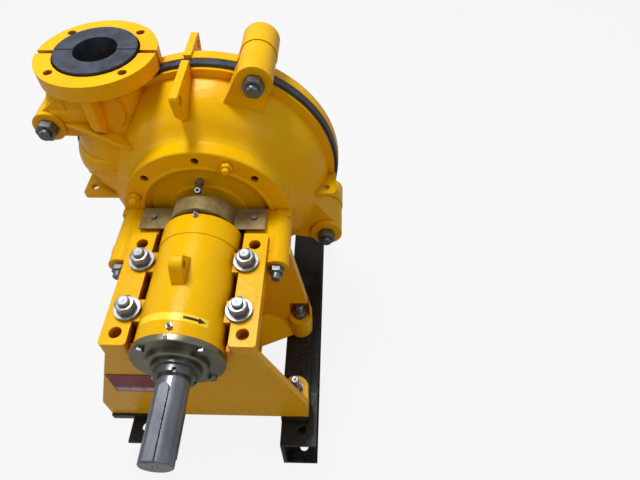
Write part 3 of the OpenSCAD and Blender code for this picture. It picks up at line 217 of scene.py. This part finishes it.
def enamel(name, light, warm, side_shade, shade_and_speck, crease_shade):
    """Thick glossy enamel on a casting, with orange peel and soft dents.

    It's warmer in wide patches. Painted shade makes it more orange on steeply sloped faces, which turn away
    from the light above, and darker in corners and creases by ambient occlusion.
    """
    mat, tree, shader = new_material(name, roughness=0.3, coat=0.12, coat_roughness=0.08, specular=0.18)
    shader.inputs["Specular Tint"].default_value = YELLOW_GLEAM
    wide = noise(tree, 7.0, 5.0)
    lumps = noise(tree, 38.0, 4.0)
    grain = noise(tree, 130.0, 4.0, 0.6)
    peel = noise(tree, 420.0, 3.0, 0.5)
    tone = ramp(tree, wide, [(0.35, light), (0.7, warm)])
    # Painted shade: steeply sloped faces, which turn away from the light above, take a more orange yellow.
    facing = node(tree, "ShaderNodeSeparateXYZ")
    tree.links.new(node(tree, "ShaderNodeNewGeometry").outputs["Normal"], facing.inputs[0])
    side_shade_mask = ramp(tree, facing.outputs["Z"], [(0.1, WHITE), (0.75, BLACK)])
    tone = mix(tree, side_shade_mask, tone, side_shade)
    # Painted shade: darker in corners and darker still in creases, by ambient occlusion.
    occlusion_shade = crevices(tree, 0.03)
    colour = mix(tree, ramp(tree, occlusion_shade, [(0.25, WHITE), (0.7, BLACK)]), tone, shade_and_speck)
    colour = mix(tree, ramp(tree, occlusion_shade, [(0.04, WHITE), (0.3, BLACK)]), colour, crease_shade)
    speck = ramp(tree, noise(tree, 900.0, 2.0), [(0.70, BLACK), (0.76, WHITE)])
    colour = mix(tree, speck, colour, shade(shade_and_speck, 0.8))
    tree.links.new(colour, shader.inputs["Base Color"])
    rough_from(tree, shader, lumps, 0.2, 0.36)
    finish(tree, shader, EDGE_CAST, [(lumps, 0.3, 0.0022), (grain, 0.65, 0.0012), (peel, 0.7, 0.0005)])
    return mat


def steel(name, colour, metallic=0.9, low=0.25, high=0.45, lines=(1, 1, 1), scale=60.0, corner_shade=0.5,
          rings=0.0, bite=0.15):
    """Bare, plated or ground steel with fine working marks, rings from the lathe and painted shade in
    corners.
    """
    mat, tree, shader = new_material(name, metallic=metallic)
    marks = noise(tree, scale, 6.0, 0.6, lines)
    patches = noise(tree, 22.0, 5.0, 0.6)
    tone = ramp(tree, patches, [(0.35, colour), (0.72, shade(colour, 0.74))])
    # Painted shade: darker in corners by ambient occlusion, by the share corner_shade.
    corner = ramp(tree, crevices(tree, 0.008), [(0.2, WHITE), (0.8, BLACK)])
    tree.links.new(mix(tree, corner, tone, shade(colour, 1 - corner_shade)), shader.inputs["Base Color"])
    rough_from(tree, shader, marks, low, high)
    layers = [(marks, bite, 0.0004)]
    if rings:
        layers.append((turned(tree, 700.0), rings, 0.0003))
    finish(tree, shader, EDGE_CUT, layers)
    return mat


def rubber(name, colour, chalk):
    """Moulded lining rubber with a faint chalky bloom."""
    mat, tree, shader = new_material(name, roughness=0.5, specular=0.4)
    bloom = noise(tree, 30.0, 6.0, 0.65)
    fine = noise(tree, 500.0, 2.0)
    tree.links.new(ramp(tree, bloom, [(0.35, colour), (0.8, chalk)]), shader.inputs["Base Color"])
    rough_from(tree, shader, bloom, 0.3, 0.52)
    finish(tree, shader, EDGE_ROLLED, [(bloom, 0.25, 0.001), (fine, 0.15, 0.0002)])
    return mat


def black_paint(name):
    """Gloss black paint on rolled steel, with clouds of dust and pale rusty specks."""
    mat, tree, shader = new_material(name, roughness=0.3, coat=0.12, coat_roughness=0.2, specular=0.3)
    dust = noise(tree, 18.0, 7.0, 0.75)
    specks = noise(tree, 260.0, 3.0, 0.6)
    tone = ramp(tree, dust, [(0.5, srgb(14, 14, 16)), (0.66, srgb(34, 32, 32)), (0.84, srgb(92, 86, 80))])
    spot = ramp(tree, specks, [(0.64, BLACK), (0.7, WHITE)])
    tree.links.new(mix(tree, spot, tone, srgb(128, 112, 98)), shader.inputs["Base Color"])
    rough_from(tree, shader, dust, 0.18, 0.55)
    finish(tree, shader, EDGE_ROLLED, [(dust, 0.3, 0.0015), (specks, 0.3, 0.0005)])
    return mat


def sheet_paint(name, colour, worn_and_shade, low, high, metallic=0.0, edge=EDGE_CUT):
    """Thin paint, print or bare cord with uneven colour and a little painted shade in corners."""
    mat, tree, shader = new_material(name, metallic=metallic, specular=0.35)
    cloud = noise(tree, 34.0, 6.0, 0.65)
    fine = noise(tree, 300.0, 3.0)
    tone = ramp(tree, cloud, [(0.38, colour), (0.66, worn_and_shade)])
    # Painted shade: darker in corners by ambient occlusion.
    corner = ramp(tree, crevices(tree, 0.01), [(0.2, WHITE), (0.8, BLACK)])
    tree.links.new(mix(tree, corner, tone, shade(worn_and_shade, 0.45)), shader.inputs["Base Color"])
    rough_from(tree, shader, cloud, low, high)
    finish(tree, shader, edge, [(cloud, 0.2, 0.0006), (fine, 0.15, 0.0002)])
    return mat


# Stretch of the working marks on turned and on ground steel
TURNED, GROUND = (1, 12, 1), (1, 0.12, 1)

looks = {
    "casting_paint": enamel("casting_enamel", YELLOW, YELLOW_WARM, YELLOW_SIDE_SHADE, YELLOW_SHADE, YELLOW_CREASE_SHADE),
    "black_paint": black_paint("rail_paint"),
    "dull_steel": steel("dull_zinc", srgb(134, 137, 142), 0.9, 0.28, 0.48),
    "dark_steel": steel("dark_bolt", srgb(116, 120, 126), 0.9, 0.26, 0.46),
    "bright_zinc": steel("bright_zinc", srgb(152, 155, 162), 0.95, 0.28, 0.48),
    "lining_rubber": rubber("lining_rubber", srgb(34, 40, 52), srgb(66, 76, 94)),
    "machined_iron": steel("machined_iron", srgb(132, 130, 112), 0.95, 0.26, 0.44, TURNED, 40.0, 0.6, 0.4),
    "hard_iron": steel("hard_iron", srgb(120, 118, 116), 0.7, 0.4, 0.6),
    "ground_steel": steel("ground_steel", srgb(136, 139, 149), 1.0, 0.28, 0.4, GROUND, 160.0, 0.45, 0.1,
                          bite=0.03),
    "bearing_steel": steel("bearing_steel", srgb(196, 198, 202), 1.0, 0.08, 0.2, rings=0.1),
    "brass_ring": steel("bronze_ring", srgb(176, 130, 66), 1.0, 0.25, 0.4, rings=0.2),
    "packing_cord": sheet_paint("packing_cord", srgb(178, 160, 120), srgb(140, 124, 92), 0.8, 0.95),
    "guard_sheet": sheet_paint("guard_paint", srgb(152, 134, 88), srgb(120, 102, 62), 0.36, 0.6, 0.2),
    "red_plate": sheet_paint("plate_enamel", srgb(138, 30, 40), srgb(112, 20, 30), 0.28, 0.44),
    "shim_sheet": steel("shim_brass", srgb(196, 176, 110), 1.0, 0.25, 0.4),
}
# A copy of the enamel with lighter painted shade: its corners take YELLOW_WARM and its creases YELLOW_SHADE,
# and it has no warm patches.
seal_lighter_shade_look = enamel("seal_enamel_lighter_shade", YELLOW, YELLOW, YELLOW_SIDE_SHADE, YELLOW_WARM, YELLOW_SHADE)
chrome_look = steel("nipple_chrome", srgb(226, 228, 232), 0.6, 0.14, 0.26)
nut_look = steel("shaft_nut_steel", srgb(112, 112, 110), 0.95, 0.26, 0.42, TURNED, 40.0, 0.5, 0.3)
label_look = sheet_paint("label_film", srgb(252, 226, 60), srgb(246, 216, 44), 0.3, 0.42, edge=EDGE_FILM)
arrow_look = sheet_paint("arrow_print", srgb(84, 18, 20), srgb(70, 12, 16), 0.3, 0.42, edge=EDGE_PRINT)
cell_look = sheet_paint("plate_cells", srgb(198, 176, 176), srgb(172, 146, 148), 0.35, 0.5, edge=EDGE_PRINT)
# A dark sheet that paints the shade inside a hole.
hole_shade_look = sheet_paint("painted_hole_shade", srgb(20, 18, 16), srgb(12, 11, 10), 0.6, 0.8, edge=EDGE_PRINT)

slot_of = {row["node"]: row["material_slot"] for row in frame["record"]["subparts"]}


# Smooth shading

SHARP_ANGLE = 34.0
# Points that agree to a micrometre share one place
PLACES_PER_METRE = 1e6


def mesh_array(items, field, count, kind):
    """Flat array of one field of a mesh's vertices, loops or polygons."""
    values = np.empty(count, kind)
    items.foreach_get(field, values)
    return values


def soft_normals(obj, angle):
    """Smooth shading over round faces, from face normals weighted by area, with sharp edges kept by angle.

    Each corner takes the mean of the faces at its place that turn away by less than the angle.
    """
    mesh = obj.data
    count, n_faces = len(mesh.loops), len(mesh.polygons)
    if not count:
        return
    spots = mesh_array(mesh.vertices, "co", len(mesh.vertices) * 3, np.float32).reshape(-1, 3)
    corner = mesh_array(mesh.loops, "vertex_index", count, np.int32)
    sizes = mesh_array(mesh.polygons, "loop_total", n_faces, np.int32)
    areas = mesh_array(mesh.polygons, "area", n_faces, np.float32)
    facing = mesh_array(mesh.polygons, "normal", n_faces * 3, np.float32).reshape(-1, 3)
    owner = np.repeat(np.arange(n_faces), sizes)

    # Corners are sorted by place, and each is paired with every corner at the same place
    places = np.round(spots * PLACES_PER_METRE).astype(np.int64)
    merged = np.unique(places, axis=0, return_inverse=True)[1].ravel()[corner]
    order = np.argsort(merged, kind="stable")
    totals = np.bincount(merged)
    totals = totals[totals > 0]
    starts = np.concatenate([[0], np.cumsum(totals)[:-1]])
    group_size = np.repeat(totals, totals)
    pair_starts = np.concatenate([[0], np.cumsum(group_size)[:-1]])
    first = np.repeat(np.arange(count), group_size)
    begin = np.repeat(np.repeat(starts, totals), group_size)
    within = np.arange(len(first)) - np.repeat(pair_starts, group_size)
    a, b = order[first], order[begin + within]

    near = (facing[owner[a]] * facing[owner[b]]).sum(1) > math.cos(math.radians(angle))
    a, b = a[near], b[near]
    pull = facing[owner[b]] * areas[owner[b]][:, None]
    total = np.stack([np.bincount(a, pull[:, k], count) for k in range(3)], 1)
    total /= np.maximum(np.linalg.norm(total, axis=1), 1e-20)[:, None]
    mesh.polygons.foreach_set("use_smooth", np.ones(n_faces, bool))
    mesh.normals_split_custom_set(total.tolist())


def dress(obj, look, angle=SHARP_ANGLE):
    """Gives an object one material and smooth shading by angle."""
    obj.data.materials.clear()
    obj.data.materials.append(look)
    soft_normals(obj, angle)


for name, obj in nodes.items():
    dress(obj, looks[slot_of[name]])
for name in ("labyrinth_drive", "lock_nut"):
    dress(nodes[name], nut_look)
# The recessed stuffing box face takes the enamel with lighter painted shade, so that it looks more lit.
dress(nodes["stuffing_box"], seal_lighter_shade_look)


# Tools for added pieces

MM = 0.001
FRONT, BACK, UP = (0, -1, 0), (0, 1, 0), (0, 0, 1)


def piece(name, build, body, slot, look=None, angle=SHARP_ANGLE):
    """A new piece from points in millimetres, which rides on a body and takes a finish."""
    mesh = bpy.data.meshes.new(name)
    mesh.from_pydata([tuple(c * MM for c in p) for p in build.points], [], build.faces)
    mesh.validate()
    mesh.update()
    obj = bpy.data.objects.new(name, mesh)
    scene.collection.objects.link(obj)
    dress(obj, look or looks[slot], angle)
    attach(obj, body)
    return obj


def ring_points(at, axis, radius, reach, sides):
    """Ring of points about an axis through a point, at a place along it."""
    along = Vector(axis).normalized()
    side = along.orthogonal().normalized()
    other = along.cross(side)
    turns = (2 * math.pi * j / sides for j in range(sides))
    return [tuple(Vector(at) + along * reach + (side * math.cos(t) + other * math.sin(t)) * radius)
            for t in turns]


class Build:
    """Points and faces that gather one piece from several forms."""

    def __init__(self):
        self.points, self.faces = [], []

    def grid(self, rows, closed_around=True):
        """A skin over rows of points."""
        base, width = len(self.points), len(rows[0])
        for row in rows:
            self.points.extend(row)
        for i in range(len(rows) - 1):
            here, there = base + i * width, base + (i + 1) * width
            for j in range(width if closed_around else width - 1):
                k = (j + 1) % width
                self.faces.append((here + j, here + k, there + k, there + j))

    def cap(self, row):
        """A flat face over one row of points."""
        base = len(self.points)
        self.points.extend(row)
        self.faces.append(tuple(range(base, base + len(row))))

    def lathe(self, at, axis, profile, sides=32):
        """Rings (radius, place along the axis) about an axis through a point."""
        self.grid([ring_points(at, axis, radius, reach, sides) for radius, reach in profile])

    def thread(self, at, axis, radius, length, pitch):
        """Threaded, chamfered and dimpled end that sleeves a plain stud of a given radius."""
        sides, clearance, depth = 24, 0.05, 0.5
        along = Vector(axis).normalized()
        side = along.orthogonal().normalized()
        other = along.cross(side)
        steps = max(4, int(length / pitch * 4))
        rows = []
        for i in range(steps + 1):
            reach = (length - 0.2) * i / steps
            row = []
            for j in range(sides):
                turn = 2 * math.pi * j / sides
                wave = (reach / pitch - j / sides) % 1.0
                high = 1.0 - abs(2.0 * wave - 1.0)
                r = radius + clearance + depth * high
                outward = side * math.cos(turn) + other * math.sin(turn)
                row.append(tuple(Vector(at) + along * reach + outward * r))
            rows.append(row)
        for r, reach in ((radius - 1.6, length + 1.5), (3.0, length + 1.6), (0.05, length + 0.3)):
            rows.append(ring_points(at, axis, r, reach, sides))
        self.grid(rows)

    def prism(self, outline, lo_x, hi_x, soft):
        """Slab from an outline in Y and Z between two places in X, with rounded edges."""
        made = bmesh.new()
        ends = [[made.verts.new((x, y, z)) for y, z in outline] for x in (lo_x, hi_x)]
        made.faces.new(ends[0])
        made.faces.new(list(reversed(ends[1])))
        for i in range(len(outline)):
            k = (i + 1) % len(outline)
            made.faces.new((ends[0][i], ends[1][i], ends[1][k], ends[0][k]))
        bmesh.ops.recalc_face_normals(made, faces=made.faces)
        bmesh.ops.bevel(made, geom=made.edges[:], offset=soft, segments=3, affect="EDGES", profile=0.5)
        made.verts.index_update()
        base = len(self.points)
        self.points.extend(tuple(v.co) for v in made.verts)
        self.faces.extend(tuple(base + v.index for v in f.verts) for f in made.faces)
        made.free()

    def arc(self, section, low, high, steps, centre_z=0.0):
        """Skin of (radius, Y) points swept about the Y direction between two angles from the top."""
        rows = []
        for i in range(steps + 1):
            t = math.radians(low + (high - low) * i / steps)
            rows.append([(r * math.sin(t), y, centre_z + r * math.cos(t)) for r, y in section])
        self.grid(rows, closed_around=False)


# Free ends of bolts and studs: radius, length past the nut and pitch of each thread

CASING_BOLTS = ((-334, 213), (140, 326), (283, -150), (-150, -268))
CASING_NUT_FRONT, CASING_NUT_BACK = 638, 852
SLEEVE_LAP = 0.5
casing_ends = Build()
for x, z in CASING_BOLTS:
    casing_ends.thread((x, CASING_NUT_FRONT, z), FRONT, 13.0, 9, 3.0)
    casing_ends.thread((x, CASING_NUT_BACK, z), BACK, 13.0, 6.5, 3.0)
    sleeve_end = CASING_NUT_BACK - CASING_NUT_FRONT + SLEEVE_LAP
    casing_ends.lathe((x, CASING_NUT_FRONT, z), BACK, [(13.4, -SLEEVE_LAP), (13.4, sleeve_end)])
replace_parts(piece("casing_bolt_bodies", casing_ends, "pump", "dark_steel", angle=25),
            "casing_bolts")

CLAMP_BASE_Z, CLAMP_NUT_Z = -6, 63
clamp_ends = Build()
for x in (-115, 115):
    for y in (297, 421):
        clamp_ends.thread((x, y, CLAMP_NUT_Z), UP, 11.5, 8, 2.5)
        sleeve_end = CLAMP_NUT_Z - CLAMP_BASE_Z + SLEEVE_LAP
        clamp_ends.lathe((x, y, CLAMP_BASE_Z), UP, [(0.05, 0), (11.9, 0), (11.9, sleeve_end)])
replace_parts(piece("clamp_stud_bodies", clamp_ends, "pump", "bright_zinc", angle=25),
            "clamp_studs")

STUD_CIRCLE_R = 178.0
FOOT_NUT_Z = -240
SIDE_NUT_Y, LOWER_NUT_Y, RING_NUT_Y, SUCTION_NUT_Y = 416, 532, 575, 889
SUCTION_STUDS = 8


def around(angle):
    """Place across and up on the studs' circle at a clock angle from the top."""
    return STUD_CIRCLE_R * math.sin(math.radians(angle)), STUD_CIRCLE_R * math.cos(math.radians(angle))


plain_ends = Build()
for x in (-216, 216):
    for y in (264, 468):
        plain_ends.thread((x, y, FOOT_NUT_Z), UP, 9.0, 26, 2.5)
for angle, nut_y in ((90, SIDE_NUT_Y), (270, SIDE_NUT_Y), (135, LOWER_NUT_Y), (225, LOWER_NUT_Y)):
    x, z = around(angle)
    plain_ends.thread((x, nut_y, z), FRONT, 10.0, 14, 2.5)
piece("frame_stud_threads", plain_ends, "pump", "dull_steel", angle=25)

painted_ends = Build()
for angle in (22.5, 112.5, 202.5, 292.5):
    x, z = around(angle)
    painted_ends.thread((x, RING_NUT_Y, z), FRONT, 8.0, 9, 2.0)
for i in range(SUCTION_STUDS):
    x, z = around(360 * i / SUCTION_STUDS)
    painted_ends.thread((x, SUCTION_NUT_Y, z), BACK, 8.0, 9, 2.0)
piece("painted_stud_threads", painted_ends, "pump", "casting_paint", angle=25)


# Castings

# Bead round the face of the wet-end ring
RING_FACE_Y = 588.0
BEAD_R, BEAD_HALF_W, BEAD_H = 158.0, 5.5, 4.0
bead = Build()
rows = []
for i in range(121):
    t = 2 * math.pi * i / 120
    row = []
    for k in range(9):
        a = math.pi * k / 8
        radius = BEAD_R + BEAD_HALF_W * math.cos(a)
        row.append((radius * math.sin(t), RING_FACE_Y + 0.5 - BEAD_H * math.sin(a), radius * math.cos(t)))
    rows.append(row)
bead.grid(rows, closed_around=False)
piece("ring_bead", bead, "pump", "casting_paint")

# Rib on the front of the branch, and the sloped top of the arm beside it
RIB_OUTLINE = [(634, 306), (633, 236), (640, 216), (664, 206), (706, 206), (706, 306)]
rib = Build()
rib.prism(RIB_OUTLINE, -224.2, -201.8, 3.0)
piece("branch_rib", rib, "pump", "casting_paint")
ARM_OUTLINE = [(667, 208), (667, 246), (700, 276), (742, 305), (752, 305), (752, 208)]
arm = Build()
arm.prism(ARM_OUTLINE, -326, -214, 6.0)
piece("arm_slope", arm, "pump", "casting_paint")

# Wall that closes the pocket behind each rear foot bolt
POCKET_OUTLINE = [(489, -259), (496.5, -259), (496.5, -194), (489, -194)]
POCKET_W = 47.5
for name, low_x in (("foot_pocket_left", -234.5), ("foot_pocket_right", 187)):
    wall = Build()
    wall.prism(POCKET_OUTLINE, low_x, low_x + POCKET_W, 1.5)
    piece(name, wall, "pump", "casting_paint")

# Flat web face between the arm and the branch
WEB_OUTLINE = [(-301, 246), (-284, 246), (-284, 285), (-294, 283), (-301, 277.5)]
WEB_FRONT_Y, WEB_BACK_Y = 671.0, 675.0
web = Build()
web.points = [(x, y, z) for y in (WEB_FRONT_Y, WEB_BACK_Y) for x, z in WEB_OUTLINE]
web.faces = [(0, 1, 2, 3, 4), (9, 8, 7, 6, 5)]
web.faces += [(i, i + 5, (i + 1) % 5 + 5, (i + 1) % 5) for i in range(5)]
piece("arm_web_face", web, "pump", "casting_paint")

# Ridge along the lower edge of the arm, and its section as steps back and up
RIDGE_PATH = [
    (-312, 668, 216), (-290, 660, 215.5), (-268, 652, 214.5), (-248, 645, 213), (-231, 640, 209),
    (-210, 636, 199), (-190, 634, 187), (-173, 634, 177), (-158, 640, 167), (-146, 652, 160),
    (-138, 672, 156),
]
RIDGE_SECTION = [(60, 5), (4, 5), (1.2, 3.8), (0, 1), (0, -3), (1.5, -6), (5, -7.5), (60, -7.5)]
ridge = Build()
ridge.grid([[(x, y + back, z + rise) for back, rise in RIDGE_SECTION] for x, y, z in RIDGE_PATH],
           closed_around=False)
piece("arm_ridge", ridge, "pump", "casting_paint", angle=60)

# Rounded knuckle of the casing under the branch, with the lip along its lower edge
BRANCH_X, SPLIT_Y = -213.0, 760.0
KNUCKLE_R, KNUCKLE_INNER_R, KNUCKLE_TOP_Z = 110.5, 98.0, 122.0
SWELL, SWELL_POWER, SWELL_SHARE = 14.5, 0.55, 0.91
LOW_EDGE_TURNS = (-20, 0, 33, 48, 60, 75, 100)
LOW_EDGE_Z = (32, 36, 46, 63, 77, 87, 88)
LIP_R = 3.6


def ease(value, low, high):
    """Smooth step from 0 to 1 between two values."""
    t = min(1.0, max(0.0, (value - low) / (high - low)))
    return t * t * (3.0 - 2.0 * t)


def at_branch(turn, radius, z):
    """Point at an angle about the branch's axis, from the left towards the front."""
    c, s = math.cos(math.radians(turn)), math.sin(math.radians(turn))
    return (BRANCH_X - radius * c, SPLIT_Y - radius * s, z)


knuckle, lip = Build(), Build()
rows, lip_rows = [], []
for i in range(31):
    turn = -18.0 + 118.0 * i / 30
    swell = SWELL * (1.0 - ease(turn, 55.0, 98.0)) * ease(turn, -22.0, -6.0)
    low = float(np.interp(turn, LOW_EDGE_TURNS, LOW_EDGE_Z))
    row = []
    for j in range(17):
        part = j / 16
        bulge = math.sin(math.pi * (part * SWELL_SHARE)) ** SWELL_POWER if part else 0.0
        row.append(at_branch(turn, KNUCKLE_R + swell * bulge, KNUCKLE_TOP_Z + (low - KNUCKLE_TOP_Z) * part))
    row.append(at_branch(turn, KNUCKLE_INNER_R, low + 4.0))
    rows.append(row)
    edge_r = KNUCKLE_R + swell * math.sin(math.pi * SWELL_SHARE) ** SWELL_POWER
    lip_rows.append([at_branch(turn, edge_r + LIP_R * math.cos(a), low - 1.0 + LIP_R * math.sin(a))
                     for a in (2 * math.pi * m / 10 for m in range(10))])
knuckle.grid(rows, closed_around=False)
piece("branch_knuckle", knuckle, "pump", "casting_paint", angle=60)
lip.grid(lip_rows)
piece("knuckle_lip", lip, "pump", "casting_paint", angle=60)


# Guard, nipples and band

# Down-turned front edge of the gland guard
GUARD_Z = 34.0
GUARD_SECTION = ((57.5, 516.9), (57.5, 515.7), (71.2, 515.7), (72.2, 516.6), (72.2, 520.0))
hood = Build()
hood.arc(GUARD_SECTION, -90.0, 90.0, 48, GUARD_Z)
piece("guard_front_edge", hood, "pump", "guard_sheet", angle=50)

# Bright cap on the seal water nipple, and a dark disc in it that paints the shade of its hole
CAP_AT, CAP_AXIS = (-3.5, 569, 107.5), (0.12, -0.62, 0.77)
CAP_PROFILE = [(3.2, -4), (6.6, -2), (6.9, 0), (6.9, 8.5), (6.2, 9.4), (3.4, 9.4), (3.2, 8.8), (3.1, 3.0)]
cap = Build()
cap.lathe(CAP_AT, CAP_AXIS, CAP_PROFILE)
piece("nipple_cap", cap, "pump", "bright_zinc", chrome_look, 40)
hole_shade_disc = Build()
hole_shade_disc.lathe(CAP_AT, CAP_AXIS, [(0.05, 4.0), (3.2, 4.0)])
piece("nipple_hole_shade", hole_shade_disc, "pump", "bright_zinc", hole_shade_look)

# Small nipple on the rim of the end cover
SMALL_AT = (-3.2, 203.7, 94.4)
SMALL_PROFILE = [(4.6, 0), (4.6, 3.2), (3.0, 3.8), (2.4, 6.0), (2.9, 7.2), (2.2, 8.8), (0.05, 9.2)]
small = Build()
small.lathe(SMALL_AT, UP, SMALL_PROFILE, 12)
piece("cover_nipple", small, "bearing_assembly", "bright_zinc", chrome_look, 40)

# Turned band round the wet end of the barrel
BAND_SECTION = ((92.4, 456.6), (93.7, 457.2), (94.0, 458.6), (94.0, 511.0), (93.4, 512.2), (92.4, 512.2))
band = Build()
band.arc(BAND_SECTION, -80.0, 80.0, 64)
piece("barrel_band", band, "bearing_assembly", "casting_paint", angle=40)


# Label on the barrel: a plain strip with one arrow

BARREL_R = 92.0
LABEL_Y, LABEL_SKEW = 250.6, 0.075
LABEL_FROM, LABEL_SWEEP, LABEL_STEPS = -51.0, 96.0, 48
LABEL_SECTION = ((-8.4, -0.02), (-8.3, 0.22), (8.3, 0.22), (8.4, -0.02))
# First and last angle, and half the width there, of the arrow's tail and of its head
ARROW_PARTS = ((13.0, 32.5, 3.0, 2.8), (32.0, 41.5, 6.4, 0.1))
ARROW_LIFT, ARROW_STEPS = 0.3, 12


def on_barrel(angle, y, lift):
    """Point on the barrel at an angle from its top."""
    r = BARREL_R + lift
    return (r * math.sin(math.radians(angle)), y, r * math.cos(math.radians(angle)))


def strip_middle(angle):
    """Middle of the label strip, which was stuck on slightly askew."""
    return LABEL_Y - LABEL_SKEW * angle


label = Build()
angles = [LABEL_FROM + LABEL_SWEEP * i / LABEL_STEPS for i in range(LABEL_STEPS + 1)]
label.grid([[on_barrel(a, strip_middle(a) + across, lift) for across, lift in LABEL_SECTION] for a in angles],
           closed_around=False)
piece("barrel_label", label, "bearing_assembly", "casting_paint", label_look)

arrow = Build()
for lo_a, hi_a, lo_w, hi_w in ARROW_PARTS:
    rows = []
    for i in range(ARROW_STEPS + 1):
        a = lo_a + (hi_a - lo_a) * i / ARROW_STEPS
        w = lo_w + (hi_w - lo_w) * i / ARROW_STEPS
        rows.append([on_barrel(a, strip_middle(a) + across, ARROW_LIFT) for across in (-w, w)])
    arrow.grid(rows, closed_around=False)
piece("turning_arrow", arrow, "bearing_assembly", "casting_paint", arrow_look)


# Blank cells and rivets on the name plate

PLATE_FACE_Y = 217.5
CELL_Y = PLATE_FACE_Y - 0.15
CELL_FIRST_X, CELL_STEP, CELL_W = -184.0, 31.5, 29.5
CELL_LOW_Z, CELL_HIGH_Z = -186, -168
cells = Build()
for i in range(3):
    x0 = CELL_FIRST_X + CELL_STEP * i
    x1 = x0 + CELL_W
    cells.cap([(x0, CELL_Y, CELL_LOW_Z), (x1, CELL_Y, CELL_LOW_Z),
               (x1, CELL_Y, CELL_HIGH_Z), (x0, CELL_Y, CELL_HIGH_Z)])
piece("plate_cells", cells, "pump", "red_plate", cell_look)
rivets = Build()
for x in (-183, -93):
    for z in (-109, -164):
        rivets.lathe((x, PLATE_FACE_Y, z), FRONT, [(2.6, -0.1), (2.5, 0.6), (1.7, 1.2), (0.05, 1.5)], 16)
piece("plate_rivets", rivets, "pump", "dull_steel")


# Camera, solved from the photograph

CAMERA_AT = Vector((0.3153, -0.2642, 0.9587))
YAW, PITCH, ROLL = (math.radians(a) for a in (-3.12, 50.86, -1.92))
FOCAL_PX = 528.0
IMAGE_W = 640.0
SENSOR_W = 36.0

gaze = Vector((math.sin(YAW) * math.cos(PITCH), math.cos(YAW) * math.cos(PITCH), -math.sin(PITCH)))
level = Vector((math.cos(YAW), -math.sin(YAW), 0.0))
rise = level.cross(gaze)
right = level * math.cos(ROLL) + rise * math.sin(ROLL)
up = -level * math.sin(ROLL) + rise * math.cos(ROLL)
camera_data = bpy.data.cameras.new("camera")
camera = bpy.data.objects.new("camera", camera_data)
scene.collection.objects.link(camera)
aim = Matrix((right, up, -gaze)).transposed().to_4x4()
aim.translation = CAMERA_AT
camera.matrix_world = aim
camera_data.sensor_width = SENSOR_W
camera_data.lens = FOCAL_PX * SENSOR_W / IMAGE_W
camera_data.clip_start = 0.02
camera_data.clip_end = 50.0
scene.camera = camera


# Floor, plainly lit but nearly white where the camera sees it

FLOOR_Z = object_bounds()[0].z
FLOOR_CORNERS = ((-12, -12), (12, -12), (12, 14), (-12, 14))
FLOOR_GLOW = 0.88

floor_mesh = bpy.data.meshes.new("floor")
floor_mesh.from_pydata([(x, y, FLOOR_Z) for x, y in FLOOR_CORNERS], [], [(0, 1, 2, 3)])
floor = bpy.data.objects.new("floor", floor_mesh)
scene.collection.objects.link(floor)
floor_look, floor_tree, floor_shader = new_material("floor_pale", roughness=0.8, specular=0.1)
floor_shader.inputs["Base Color"].default_value = MID_GREY
seen = node(floor_tree, "ShaderNodeLightPath")
glow = node(floor_tree, "ShaderNodeEmission", Color=WHITE)
blend = node(floor_tree, "ShaderNodeMixShader")
share = node(floor_tree, "ShaderNodeMath", operation="MULTIPLY")
share.inputs[1].default_value = FLOOR_GLOW
floor_tree.links.new(seen.outputs["Is Camera Ray"], share.inputs[0])
floor_tree.links.new(share.outputs[0], blend.inputs[0])
floor_tree.links.new(floor_shader.outputs[0], blend.inputs[1])
floor_tree.links.new(glow.outputs[0], blend.inputs[2])
floor_tree.links.new(blend.outputs[0], floor_tree.nodes["Material Output"].inputs["Surface"])
floor.data.materials.append(floor_look)


# World: a dim even fill, white where the camera sees it and partly white in reflections

FILL_STRENGTH = 0.30
REFLECTED_SHARE = 0.35

world = bpy.data.worlds.new("studio")
scene.world = world
world.use_nodes = True
sky = world.node_tree
fill = sky.nodes["Background"]
fill.inputs["Color"].default_value = WHITE
fill.inputs["Strength"].default_value = FILL_STRENGTH
white = node(sky, "ShaderNodeBackground", Color=WHITE, Strength=1.0)
paths = node(sky, "ShaderNodeLightPath")
either = node(sky, "ShaderNodeMath", operation="MAXIMUM")
sky.links.new(paths.outputs["Is Camera Ray"], either.inputs[0])
sky.links.new(paths.outputs["Is Transmission Ray"], either.inputs[1])
shown = node(sky, "ShaderNodeMath", operation="MAXIMUM")
glossy = node(sky, "ShaderNodeMath", operation="MULTIPLY")
glossy.inputs[1].default_value = REFLECTED_SHARE
sky.links.new(paths.outputs["Is Glossy Ray"], glossy.inputs[0])
sky.links.new(either.outputs[0], shown.inputs[0])
sky.links.new(glossy.outputs[0], shown.inputs[1])
backdrop = node(sky, "ShaderNodeMixShader")
sky.links.new(shown.outputs[0], backdrop.inputs[0])
sky.links.new(fill.outputs[0], backdrop.inputs[1])
sky.links.new(white.outputs[0], backdrop.inputs[2])
sky.links.new(backdrop.outputs[0], sky.nodes["World Output"].inputs["Surface"])


# Lamps

LAMP_TARGET = Vector((0.0, 0.5, 0.0))


def lamp(name, place, size, power):
    """Square soft lamp that looks at the pump."""
    data = bpy.data.lights.new(name, "AREA")
    data.shape = "SQUARE"
    data.size = size
    data.energy = power
    made = bpy.data.objects.new(name, data)
    scene.collection.objects.link(made)
    made.location = place
    made.rotation_euler = (LAMP_TARGET - Vector(place)).to_track_quat("-Z", "Y").to_euler()


lamp("lamp_top", (-0.45, 1.35, 2.5), 0.65, 55.0)
lamp("lamp_front", (1.8, -1.1, 1.9), 1.4, 12.0)
lamp("lamp_left", (-2.2, -0.3, 1.5), 1.3, 11.0)

scene.view_settings.view_transform = "Standard"
